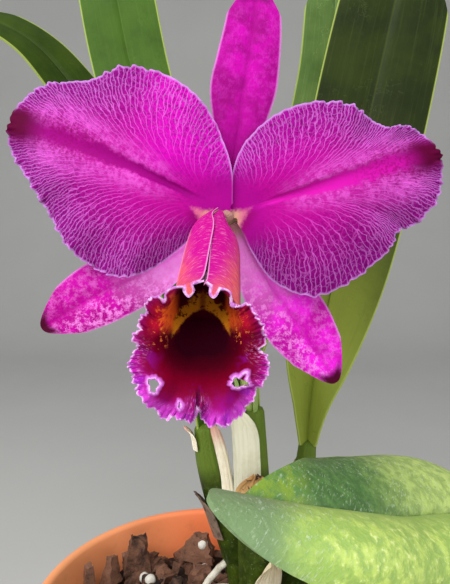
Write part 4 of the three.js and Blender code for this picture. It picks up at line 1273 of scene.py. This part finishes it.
# %% Leaf lines
EVEN_TIP = {"curl": [14, 14], "round": [0.15, 0.15], "power": [2.6, 2.6], "notch": 0.01}
LEAVES = {
    "left": {
        "spine": [
            (-3.2, 8.6, 198), (-4.4, 12, 214), (-9.5, 19, 250), (-21.5, 28, 300), (-34, 36, 345),
            (-40.4, 38, 377), (-43.8, 40, 398),
        ],
        "half_width": [4.4, 7, 12, 15.6, 16, 16, 15],
        "fold": [48, 46, 34, 18, 12, 10, 8],
        "face": [(0.1, -1, 0.1), (-0.1, -1, 0.15)],
        **EVEN_TIP,
    },
    "middle": {
        "spine": [
            (15.2, 4.6, 209), (15.6, 12, 228), (26, 28, 262), (41, 38, 306), (50, 42, 344),
            (52.5, 44.5, 372), (53, 46, 394),
        ],
        "half_width": [4.4, 6, 11, 13.5, 14, 13.5, 12],
        "fold": [30, 44, 34, 20, 14, 10, 8],
        "face": [(-0.1, -1, 0.2), (0.1, -1, 0.3)],
        **EVEN_TIP,
    },
    "right": {
        "spine": [
            (40.4, 15.4, 190), (41.4, 17, 206), (44.2, 18, 228), (51.5, 18, 268), (62, 18, 322),
            (71, 20, 366), (75.5, 22, 389),
        ],
        "half_width": [5, 9.5, 16, 21.5, 23, 22, 19],
        "fold": [48, 46, 38, 22, 12, 8, 8],
        "face": [(-0.15, -1, 0.1), (0.05, -1, 0.1)],
        **EVEN_TIP,
    },
    "front": {
        "spine": [
            (90, -44, 163), (94, -47, 175), (89, -53, 189.5), (72, -62.5, 199), (50.5, -78, 206.5),
            (26, -96, 218.5), (-5, -105, 229),
        ],
        "half_width": [4.6, 8, 19, 27, 27.5, 26, 24],
        "fold": [44, 44, 45, 46, 46, 46, 46],
        "face": [
            (0.7, 0.5, 0.1), (0.5, 0.2, 0.7), (0.05, -0.3, 1), (0, -0.35, 1), (-0.05, -0.2, 1),
            (-0.1, -0.1, 1),
        ],
        "curl": [138, 80],
        "round": [0.165, 0.28],
        "power": [3, 0.9],
        "notch": 0.07,
    },
    "back": {
        "spine": [
            (15.4, 46.4, 186), (11, 48, 208), (-3, 49.5, 245), (-24, 52, 285), (-45, 54.5, 317),
            (-63.5, 56, 343), (-80.5, 57, 362.5), (-99, 58, 373.5), (-119, 59.5, 377),
        ],
        "half_width": [4.2, 7.5, 12, 13, 13, 13, 13, 13, 12],
        "fold": [48, 46, 34, 22, 16, 12, 10, 9, 8],
        "face": [(0.3, -1, 0.1), (0.3, -1, 0.3), (0.25, -0.8, 0.6), (0.2, -0.7, 1), (0.1, -0.6, 1.1)],
        **EVEN_TIP,
    },
}


# %% Leaf finish
def leaf_finish(name, deep, fresh, streak_colour, streak_amount, foot):
    finish = Finish(name, Roughness=0.45, Specular_IOR_Level=0.1, Coat_Weight=0.02, Coat_Roughness=0.3)
    where = finish.object_place()
    u, v, _ = finish.blade_place()
    _, off, edge = finish.parts(finish.noted_place("span"))
    cloud = finish.noise(where, 45, 4, 0.6)
    fine = finish.noise(where, 600, 3, 0.6)
    grain = finish.noise(finish.joined(u * 5, v * 30), 1.0, 5, 0.7)
    curl = finish.noise(where, 210, 3, 0.6)
    scratch = finish.fade(abs(curl - 0.5), 0.004, 0.016)
    scratch = scratch * finish.smooth(finish.noise(where, 70, 3, 0.6), 0.5, 0.62)
    colour = finish.coats(
        finish.mix(deep, fresh, finish.smooth(cloud, 0.3, 0.7)),
        # Partly painted light: the foot is a lighter yellow green, partly its own colour and partly lifted
        # to undo the shade in its folded channel.
        (foot, finish.fade(u + cloud * 0.15, 0.4, 0.78)),
        (streak_colour, finish.smooth(grain, 0.5, 0.75) * streak_amount),
        (streak_colour, scratch * streak_amount),
        (streak_colour, finish.fade(off, 0.2, 0.9) * 0.3),
        ("#a9b95a", finish.fade(edge, 0.2, 0.8) * 0.75),
    )
    return finish.done(colour, grain * 0.12 + fine * 0.03 + curl * 0.2, 0.34 + 0.2 * cloud + 0.15 * fine)


# %% [markdown]
# The leaf in front is the old one, and its colour has broken up. Its near half runs from a grey green lobe
# to lime with pale patches, its far half is a bluish green, and fine silvery scratches cross both.


# %% Finish of the mottled leaf
def mottled_leaf_finish():
    gloss = {"Roughness": 0.45, "Specular_IOR_Level": 0.3, "Coat_Weight": 0.1, "Coat_Roughness": 0.3}
    finish = Finish("leaf_front_skin", **gloss)
    where = finish.object_place()
    x, y, z = finish.parts(where)
    _, v, _ = finish.blade_place()
    _, off, edge = finish.parts(finish.noted_place("span"))
    cloud = finish.noise(where, 60, 4, 0.6)
    fine = finish.noise(where, 600, 3, 0.6)
    blots = finish.noise(where, 300, 4, 0.6)
    across = x * 1000 + (cloud - 0.5) * 20
    pale = finish.smooth(blots, 0.42, 0.62) * finish.smooth(across, 16, 34) * finish.smooth(off, 3, 14)
    near = finish.coats(
        finish.mix("#728c5e", "#96b456", finish.smooth(across, 12, 27)),
        ("#c8dc6c", pale * 0.7),
        ("#eef0b4", pale * finish.smooth(fine, 0.56, 0.7) * 0.5),
        ("#88a888", finish.fade(off, 0.8, 4.5) * 0.5),
        ("#7c5c34", finish.fade(edge, 0.2, 0.9) * 0.8),
    )
    far = finish.coats(
        finish.mix("#7a962c", "#42682f", finish.smooth(across, 17, 29)),
        ("#567e3c", finish.smooth(blots, 0.4, 0.65)),
        ("#b2c66c", finish.smooth(across, 38, 66) * (0.6 + 0.4 * finish.smooth(blots, 0.4, 0.6))),
        ("#a9b95a", finish.fade(edge, 0.2, 0.8) * 0.75),
    )
    stroke = finish.joined((x * 0.8 + z * 0.6) * 380, (z * 0.8 - x * 0.6) * 1500, y * 700)
    scratch = finish.smooth(finish.noise(stroke, 1.0, 4, 0.7), 0.54, 0.66)
    scratch = scratch * finish.smooth(finish.noise(where, 95, 3, 0.6), 0.34, 0.56)
    scratch = scratch * (1 - 0.6 * finish.smooth(across, 26, 40) * finish.fade(v, 0.497, 0.503))
    colour = finish.coats(near, (far, finish.smooth(v, 0.497, 0.503)), ("#d4e2c8", scratch * 0.38))
    height = blots * 0.7 + fine * 0.05 + scratch * 0.05
    return finish.done(colour, height, 0.34 + 0.2 * cloud + 0.15 * fine)


# %% Make the leaves
LEAF_COLOURS = {
    "left": ("#2e4614", "#41601c", "#5c7634", 0.3, "#41601c"),
    "middle": ("#46602c", "#5d783c", "#889e62", 0.3, "#5d783c"),
    # The last colour is the foot's; on the right leaf it is partly painted light.
    "right": ("#1e270c", "#2b370f", "#525e30", 0.26, "#8a983a"),
    "back": ("#26390a", "#36490e", "#506424", 0.22, "#36490e"),
}


def leaf_detail(u, v, off, edge):
    """A sunken midrib and a slow waver along the margins."""
    midrib = -0.5 * np.exp(-((off / 1.2) ** 2))
    waver = 0.5 * np.sin(9 * u + 4 * v) * ease(edge, 9, 0) * ease(u, 0.2, 0.5)
    return midrib + waver


for leaf_name, leaf_shape in LEAVES.items():
    leaf = f"leaf_{leaf_name}"
    if leaf_name in LEAF_COLOURS:
        skin = leaf_finish(leaf + "_skin", *LEAF_COLOURS[leaf_name])
    else:
        skin = mottled_leaf_finish()
    strap(f"leaf_blade_{leaf_name}", leaf, leaf_shape, skin, SHEETS["leaf"], detail=leaf_detail)

# %% [markdown]
# ## Papery sheaths
# Each growth leaves old sheaths behind: thin, dry, cream or brown, with fine lines lengthwise and a
# ragged tip. A sheath sits on one pseudobulb, from one share of its height to another. It wraps it round a
# centre with a spread to each side, both in degrees, stands clear of it and flares towards its tip, and
# its tip is squarer where the last number is high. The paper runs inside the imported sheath's wall.

# %% Sheath places
PACKED_SHEATH = 0.6
SHEATH_TERMS = ("on", "from", "to", "centre", "spread", "flare", "clear", "square")
SHEATHS = {
    "sheath_left_dry": ("left", 0.42, 0.62, 196, 50, 2.2, 0.5, 4),
    "sheath_left_tip": ("left", 0.84, 0.995, 190, 42, 3, 0.5, 4),
    "sheath_middle_white": ("middle", 0.5, 0.99, 225, 66, 1.6, 0.5, 14),
    "sheath_middle_brown": ("middle", 0.45, 0.735, 273, 58, 3.4, 1.9, 4),
    "sheath_middle_low": ("middle", 0.08, 0.36, 300, 52, 4.4, 0.6, 4),
    "sheath_right": ("right", 0.45, 0.9, 90, 96, 0.6, 0.5, 4),
    "sheath_front": ("front", 0.38, 0.84, 250, 84, 1.4, 0.5, 4),
    "sheath_back": ("back", 0.14, 0.62, 270, 80, 1.4, 0.5, 4),
}
STRIP = {
    "spine": [(6.3, 0.3, 170), (6.1, 0.4, 176), (5.1, 0.7, 184), (3, 1, 194), (0.2, 1.2, 204)],
    "half_width": [2.2, 2.5, 2.6, 2.6, 2.2],
    "fold": [6, 2],
    "face": [(-0.2, -1, 0.1), (-0.1, -1, 0.4)],
    "curl": [60, 60],
    "round": [0.1, 0.16],
    "power": [2.6, 2.6],
    "notch": 0.02,
}


def cross_axes(line, t):
    """Two axes square to a line: side is +X and front is +Y where it stands upright."""
    tangent = heading(line, t)
    upright = np.where(np.abs(tangent[:, 1:2]) > 0.9, [[0.0, 0.0, -1.0]], [[0.0, 1.0, 0.0]])
    side = unit(np.cross(upright, tangent))
    return side, unit(np.cross(tangent, side))


# %% Shape a sheath
def sheath(name, piece_name, place, material):
    piece, u, v = new_grid(piece_name, 36, 56)
    points = PSEUDOBULBS[place["on"]]
    line = middle_line(points)
    q = 2 * v - 1
    ragged = 0.02 * np.sin(23 * v + place["centre"]) + 0.012 * np.sin(61 * v)
    t = lerp(place["from"], place["to"], u * (1 + ragged * ease(u, 0.6, 1)))
    side, front = cross_axes(line, t)
    taper = lerp(0.12, 1, 1 - u ** place["square"])
    angle = np.radians(place["centre"] + place["spread"] * taper * q)
    crease = 0.16 * np.sin(14 * v + 2 * u) + 0.08 * np.sin(37 * v)
    reach = along([point[3] for point in points], t) * 1.03 + place["clear"] + PACKED_SHEATH / 2
    reach = reach + 0.5 * np.abs(q) ** 3 + place["flare"] * u**3 + crease * ease(u, 0, 0.3)
    move_to(piece, round_line(line, t, side, front, reach, angle))
    thicken(piece, SHEETS["sheath"])
    hand_over(piece, name, material)


def paper_finish(name, pale, shade, tip, spots=0.0):
    finish = Finish(name, Roughness=0.7)
    where = finish.object_place()
    u, v, _ = finish.blade_place()
    cloud = finish.noise(where, 160, 4, 0.6)
    strand = finish.noise(finish.joined(u * 2, v * 45), 1.0, 4, 0.65)
    blot = finish.noise(where, 420, 3, 0.6)
    colour = finish.coats(
        pale,
        (shade, finish.smooth(strand, 0.45, 0.75) * 0.6),
        (shade, finish.smooth(cloud, 0.45, 0.75) * 0.5),
        (tip, finish.smooth(u, 0.7, 1.0) * 0.8),
    )
    if spots:
        colour = finish.mix(colour, "#3a2414", finish.smooth(blot, 0.54, 0.62) * spots)
    return finish.done(colour, strand * 0.35 + cloud * 0.3, 0.6 + 0.25 * cloud)


# %% Make the sheaths
white_paper = paper_finish("white_paper_sheath", "#dcdac0", "#bebb98", "#d8d6b8")
cream_paper = paper_finish("cream_paper_sheath", "#ded6b8", "#b9ab7c", "#cdbf96")
tan_paper = paper_finish("tan_paper_sheath", "#cfa468", "#9c7040", "#b4844c", spots=1.0)
pink_paper = paper_finish("pink_tipped_sheath", "#fff6dc", "#e6d8b0", "#dc9484")
grey_paper = paper_finish("weathered_sheath", "#86705e", "#54423a", "#6a5648", spots=0.7)
SHEATH_FINISH = {
    "sheath_left_dry": ("dry_sheath", grey_paper),
    "sheath_left_tip": ("paper_sheath", pink_paper),
    "sheath_middle_white": ("paper_sheath", white_paper),
    "sheath_middle_brown": ("dry_sheath", tan_paper),
    "sheath_middle_low": ("paper_sheath", cream_paper),
    "sheath_right": ("paper_sheath", cream_paper),
    "sheath_front": ("paper_sheath", cream_paper),
    "sheath_back": ("paper_sheath", cream_paper),
}
for sheath_name, terms in SHEATHS.items():
    slot, paper = SHEATH_FINISH[sheath_name]
    sheath(sheath_name, sheath_name.replace("sheath", "wrap"), dict(zip(SHEATH_TERMS, terms)), paper)
strap(
    "rolled_strip", "sheath_strip", STRIP, pink_paper, SHEETS["strip"], rows=60, columns=24,
    detail=lambda u, v, off, edge: 0.12 * np.sin(22 * v + 3 * u),
)

# %% [markdown]
# The spathe is the green sheath that the flower grew out of. It wraps the foot of the flower stem nearly
# all the way round and swells in its middle.

# %% The spathe
SPATHE = {"from": 0.015, "to": 0.2, "centre": 90, "spread": 150, "radius": 3.5, "swell": 0.7}
spathe, u, v = new_grid("green_spathe", 40, 60)
stem_line = middle_line(STEM)
t = lerp(SPATHE["from"], SPATHE["to"], u)
side, front = cross_axes(stem_line, t)
angle = np.radians(SPATHE["centre"] + SPATHE["spread"] * lerp(0.12, 1, 1 - u**4) * (2 * v - 1))
reach = SPATHE["radius"] + SPATHE["swell"] * np.sin(math.pi * u) + 0.08 * np.sin(30 * v)
move_to(spathe, round_line(stem_line, t, side, front, reach, angle))
thicken(spathe, SHEETS["spathe"])
hand_over(spathe, "spathe", paper_finish("spathe_skin", "#8fa85a", "#6f8a3e", "#a8b070"))

# %% [markdown]
# ## The bark
# Orchids grow in coarse fir bark. Each chip is a block with its corners knocked about, split along its
# layers and rough all over. A cube is cut into squares once for the chips, and into fewer for the many
# crumbs; each is that block, stretched, leant over and roughened. The large chips stand where they stand
# in the frame, each with its place, its three half sizes and its turn, and smaller ones fill in between
# them. GAP keeps the bark off the pot's wall. All that is random has a fixed seed, so the heap is the same
# on every run.


# %% Bark layout
LARGE_CHIPS = [
    (-38, 40, 124, 8.5, 5.5, 13, 12), (-49, 35, 120, 6, 4, 8, 60), (-57, 25, 118, 4, 4, 10, 30),
    (-8, 50, 121, 10, 6, 8, -20), (-6, 36, 115, 10, 7, 6, 10), (-24, 36, 115, 8, 5, 5, 40),
]
BOX_CORNERS = [
    (1, 1, 1), (1, -1, 1), (1, 1, -1), (1, -1, -1), (-1, 1, -1), (-1, -1, -1), (-1, 1, 1), (-1, -1, 1),
]
GAP = 0.3


def inner_radius(z):
    """The radius inside the pot's wall at a height."""
    share = (z - POT["floor"]) / (POT["height"] - POT["rim_drop"] - POT["floor"])
    return lerp(POT["foot"] - POT["wall"], POT["rim"] - POT["rim_wall"], share)


def bed_height(radius):
    """The height of the bark, which is crowned in the middle."""
    return lerp(BARK["crown"], BARK["edge"], (radius / inner_radius(BARK["edge"])) ** 2)


def random_from(seed):
    """Repeatable random numbers from 0 to 1."""
    state = seed
    whole = 0xFFFFFFFF

    def draw():
        nonlocal state
        state = (state + 0x6D2B79F5) & whole
        mixed = ((state ^ (state >> 15)) * (state | 1)) & whole
        mixed ^= (mixed + (((mixed ^ (mixed >> 7)) * (mixed | 61)) & whole)) & whole
        return (mixed ^ (mixed >> 14)) / 4294967296

    return draw


# %% One chip
def points_and_faces(piece):
    """Take the shape of a piece, and clear the piece away."""
    shape = places(piece), [list(polygon.vertices) for polygon in piece.data.polygons]
    bpy.data.objects.remove(piece)
    return shape


def cut_block(cuts):
    """A cube two units wide, cut into squares."""
    block = add(bpy.ops.mesh.primitive_cube_add, "block", size=2)
    bpy.ops.object.mode_set(mode="EDIT")
    bpy.ops.mesh.subdivide(number_cuts=cuts)
    bpy.ops.object.mode_set(mode="OBJECT")
    return points_and_faces(block)


CHIP_BLOCK = cut_block(5)
CRUMB_BLOCK = cut_block(2)


def chip(draw, block, centre, sizes, turn, tilt, peak):
    """The block, stretched over eight knocked corners, then turned, tilted and roughened."""
    block_points, block_faces = block
    corners = {}
    for corner in BOX_CORNERS:
        drawn = (peak, peak, 1) if corner[2] > 0 else (1, 1, 1)
        corners[corner] = [corner[i] * sizes[i] * drawn[i] * lerp(0.6, 1, draw()) for i in range(3)]
    lean_x, lean_y = lerp(-tilt, tilt, draw()), lerp(-tilt, tilt, draw())
    points = np.zeros_like(block_points)
    for corner, at in corners.items():
        weight = np.prod((1 + block_points * np.array(corner)) / 2, axis=1)
        points += weight[:, None] * np.array(at)
    layer = np.array([noise.noise(Vector((7.3 * turn, 0, z * 1.3))) for z in points[:, 2]])
    points[:, :2] *= (1 + 0.22 * layer)[:, None]
    rough = [noise.turbulence_vector(Vector(p) * 0.35 + Vector(centre), 3, False) for p in points]
    points += np.array(rough) * min(sizes) * 0.22
    cx, sx, cy, sy = math.cos(lean_x), math.sin(lean_x), math.cos(lean_y), math.sin(lean_y)
    cz, sz = math.cos(turn), math.sin(turn)
    about_x = np.array([[1, 0, 0], [0, cx, -sx], [0, sx, cx]])
    about_y = np.array([[cy, 0, sy], [0, 1, 0], [-sy, 0, cy]])
    about_z = np.array([[cz, -sz, 0], [sz, cz, 0], [0, 0, 1]])
    return points @ (about_x @ about_y @ about_z).T + np.array(centre), block_faces


def scattered(draw, reach):
    """A random place on the bed."""
    radius = reach * math.sqrt(draw())
    angle = 2 * math.pi * draw()
    return radius * math.cos(angle), radius * math.sin(angle), bed_height(radius)


# %% Heap the chips
noise.seed_set(BARK["seed"])
draw = random_from(BARK["seed"])
edge_radius = inner_radius(BARK["edge"]) - GAP
chips = [
    chip(draw, CHIP_BLOCK, (x, y, z), (a, b, c), math.radians(degrees), 0.15, 0.45)
    for x, y, z, a, b, c, degrees in LARGE_CHIPS
]
for _ in range(BARK["chips"]):
    x, y, z = scattered(draw, edge_radius - 4)
    sizes = [lerp(8, 14, draw()), lerp(6, 9, draw()), lerp(4, 6, draw())]
    height = z + lerp(-1, 3, draw())
    chips.append(chip(draw, CHIP_BLOCK, (x, y, height), sizes, 2 * math.pi * draw(), 0.6, 0.8))
prills = []
for _ in range(BARK["prills"]):
    x, y, z = scattered(draw, edge_radius - 6)
    prills.append((x, y, z + 4, lerp(2.4, 3, draw())))
more = random_from(BARK["seed"] + 1)
for _ in range(BARK["crumbs"]):
    x, y, z = scattered(more, edge_radius - 2)
    long = lerp(3, 7, more())
    sizes = [long, long * lerp(0.4, 0.8, more()), long * lerp(0.25, 0.5, more())]
    height = z + lerp(0, 4, more())
    chips.append(chip(more, CRUMB_BLOCK, (x, y, height), sizes, 2 * math.pi * more(), 1.2, 0.7))
print(len(chips), "chips and", len(prills), "prills")


def heap(name, lumps):
    """One mesh of many lumps, kept inside the pot's wall, each with a tone of its own."""
    counts = [len(lump_points) for lump_points, _ in lumps]
    points = np.concatenate([lump_points for lump_points, _ in lumps])
    radius = np.hypot(points[:, 0], points[:, 1])
    most = inner_radius(points[:, 2]) - 2 * GAP
    points[:, :2] *= np.minimum(1, most / np.maximum(radius, 1e-6))[:, None]
    first = np.cumsum([0] + counts)
    faces = []
    for start, (_, lump_faces) in zip(first, lumps):
        faces += [[int(start) + i for i in face] for face in lump_faces]
    mesh = bpy.data.meshes.new(name)
    mesh.from_pydata((points * MM).tolist(), [], faces)
    piece = bpy.data.objects.new(name, mesh)
    bpy.context.scene.collection.objects.link(piece)
    note(piece, "tone", np.repeat([noise.random() for _ in lumps], counts))
    return piece


# %% Bark finish
def bark_finish():
    finish = Finish("fir_bark", Roughness=0.9)
    where = finish.object_place()
    tone = finish.noted("tone")
    cloud = finish.noise(where, 180, 5, 0.65)
    grit = finish.noise(where, 1100, 4, 0.7)
    colour = finish.coats(
        finish.mix("#20130d", "#825842", finish.smooth(cloud + tone * 0.4, 0.46, 0.92)),
        ("#a07c60", finish.smooth(grit, 0.56, 0.72) * 0.5),
        ("#1a0f0a", finish.fade(grit, 0.34, 0.44) * 0.6),
    )
    return finish.done(colour, cloud * 1.2 + grit * 0.35, 0.75 + 0.2 * grit)


noise.seed_set(BARK["seed"])
bark_heap = heap("bark_chips", chips)
hand_over(bark_heap, "bark_mix", bark_finish(), sharp=35)

# %% The bed under the chips
bed, ring_share, round_share = new_grid("bark_bed", 40, 96)
bed_radius = ring_share * edge_radius
bed_angle = 2 * math.pi * round_share
bumps = np.array([
    noise.noise(Vector((r * math.cos(a), r * math.sin(a), 0)) * 0.25) for r, a in zip(bed_radius, bed_angle)
])
bed_z = np.array([bed_height(r) for r in bed_radius]) + 1.2 * bumps - 1
move_to(bed, np.stack([bed_radius * np.cos(bed_angle), bed_radius * np.sin(bed_angle), bed_z], axis=1))
note(bed, "tone", np.zeros(len(bed_z)))
close_seams(bed)
thicken(bed, BARK["bed"], offset=-1)
hand_over(bed, "bark_mix", bark_finish(), sharp=35)

# %% [markdown]
# A few pale prills of plant food lie among the chips. Each is one ball, dented all over.

# %% Prills
PRILL_PLACES = [(-5.9, 48, 124.4, 2.6), (-30, 29.6, 117.4, 2.5)]
prill_ball = add(bpy.ops.mesh.primitive_ico_sphere_add, "prill", subdivisions=3, radius=1)
ball_points, ball_faces = points_and_faces(prill_ball)
prill_lumps = []
for x, y, z, radius in prills + PRILL_PLACES:
    dent = np.array([noise.noise(Vector(p) * 1.3 + Vector((x, y, z))) for p in ball_points])
    prill_points = ball_points * (radius * (1 + 0.1 * dent))[:, None] + np.array([x, y, z])
    prill_lumps.append((prill_points, ball_faces))
prill_heap = heap("pale_prills", prill_lumps)
prill_finish = Finish("prill_crust", Roughness=0.8)
prill_grain = prill_finish.noise(prill_finish.object_place(), 700, 4, 0.6)
prill_crust = prill_finish.done(prill_finish.mix("#cfc9b8", "#f1eee4", prill_grain), prill_grain * 0.3)
hand_over(prill_heap, "bark_mix", prill_crust)

# %% [markdown]
# ## The pot
# A plain moulded pot of terracotta-coloured plastic: a thin conical wall, a deeper collar at the rim
# with a rounded lip, and drainage holes in the floor. Its profile is spun round the axis, and a Boolean
# cuts each hole.

# %% Pot profile
SPIN_STEPS = 144
LIP_ROUND = 2.2
FOOT_ROUND = 1.5
COLLAR_ROUND = 0.8
RECESS = 1.2


def arc(centre, radius, start, end, steps):
    """Points of a round edge from one angle to another, in degrees."""
    angles = np.radians(np.linspace(start, end, steps))
    return [(centre[0] + radius * math.cos(a), centre[1] + radius * math.sin(a)) for a in angles]


collar_foot = POT["height"] - POT["collar"]
foot, rim, height, wall, floor = (POT[key] for key in ("foot", "rim", "height", "wall", "floor"))
neck_z = collar_foot - 1.5
neck = inner_radius(neck_z) + wall
collar = rim - POT["collar_step"]
profile = [(0, RECESS), (foot - 7, RECESS), (foot - 6, 0)]
profile += arc((foot - FOOT_ROUND, FOOT_ROUND), FOOT_ROUND, -90, 0, 5)
profile += [(lerp(foot, neck, 0.5), lerp(FOOT_ROUND, neck_z, 0.5)), (neck, neck_z)]
profile += arc((collar - COLLAR_ROUND, collar_foot + COLLAR_ROUND), COLLAR_ROUND, -80, 0, 4)
profile += [(lerp(collar, rim, 0.9), lerp(collar_foot, height - POT["rim_drop"], 0.9))]
profile += arc((rim - LIP_ROUND, height - LIP_ROUND), LIP_ROUND, 8, 172, 9)
profile += [(inner_radius(height - 4), height - 4), (inner_radius(floor + 2), floor + 2)]
profile += [(inner_radius(floor) - 2, floor), (0, floor)]
profile_mesh = bpy.data.meshes.new("moulded_pot")
profile_edges = [(i, i + 1) for i in range(len(profile) - 1)]
profile_mesh.from_pydata([(r * MM, 0, z * MM) for r, z in profile], profile_edges, [])
pot = bpy.data.objects.new("moulded_pot", profile_mesh)
bpy.context.scene.collection.objects.link(pot)
only(pot)
bpy.ops.object.mode_set(mode="EDIT")
bpy.ops.mesh.select_all(action="SELECT")
bpy.ops.mesh.spin(steps=SPIN_STEPS, angle=2 * math.pi, center=(0, 0, 0), axis=(0, 0, 1))
bpy.ops.object.mode_set(mode="OBJECT")
close_seams(pot)
print("the pot has", len(pot.data.polygons), "faces")

# %% Drainage holes
HOLES = {"count": 6, "ring": 34, "radius": 4, "depth": 16}
DRILL = {"vertices": 32, "radius": HOLES["radius"] * MM, "depth": HOLES["depth"] * MM}
for number in range(HOLES["count"]):
    hole_angle = (number + 0.5) / HOLES["count"] * 2 * math.pi
    hole_at = Vector((math.cos(hole_angle), math.sin(hole_angle), 0)) * HOLES["ring"] * MM
    drill = add(bpy.ops.mesh.primitive_cylinder_add, "drill", location=hole_at, **DRILL)
    cut = pot.modifiers.new("hole", "BOOLEAN")
    cut.operation = "DIFFERENCE"
    cut.solver = "EXACT"
    cut.object = drill
    apply(pot, cut)
    bpy.data.objects.remove(drill)


# %% Pot finish
def pot_finish():
    finish = Finish("terracotta_plastic", Roughness=0.45, Specular_IOR_Level=0.5)
    where = finish.object_place()
    x, y, z = finish.parts(where)
    cloud = finish.noise(where, 18, 4, 0.6)
    scuff = finish.noise(finish.joined(x * 60, y * 60, z * 300), 1.0, 4, 0.7)
    grime = finish.noise(where, 70, 5, 0.65)
    soil = finish.smooth(grime, 0.52, 0.72)
    colour = finish.coats(
        finish.mix("#ffa268", "#ffb078", cloud),
        # Painted shade: the right side of the pot is painted a deeper orange, where less light falls on it.
        ("#fc7844", finish.smooth(x, -0.085, 0.03)),
        ("#f8a880", finish.smooth(scuff, 0.6, 0.8) * 0.25),
        ("#8a4a30", soil * 0.2 * finish.fade(z, 0.122, 0.128)),
    )
    return finish.done(colour, scuff * 0.06 + cloud * 0.2, 0.38 + 0.2 * scuff + 0.15 * soil)


hand_over(pot, "pot", pot_finish(), sharp=35)

# %% [markdown]
# ## Hand over
# Every piece made here rides on the root body, and the number of pieces is printed.

# %% Count the pieces
print(len(made), "pieces made")
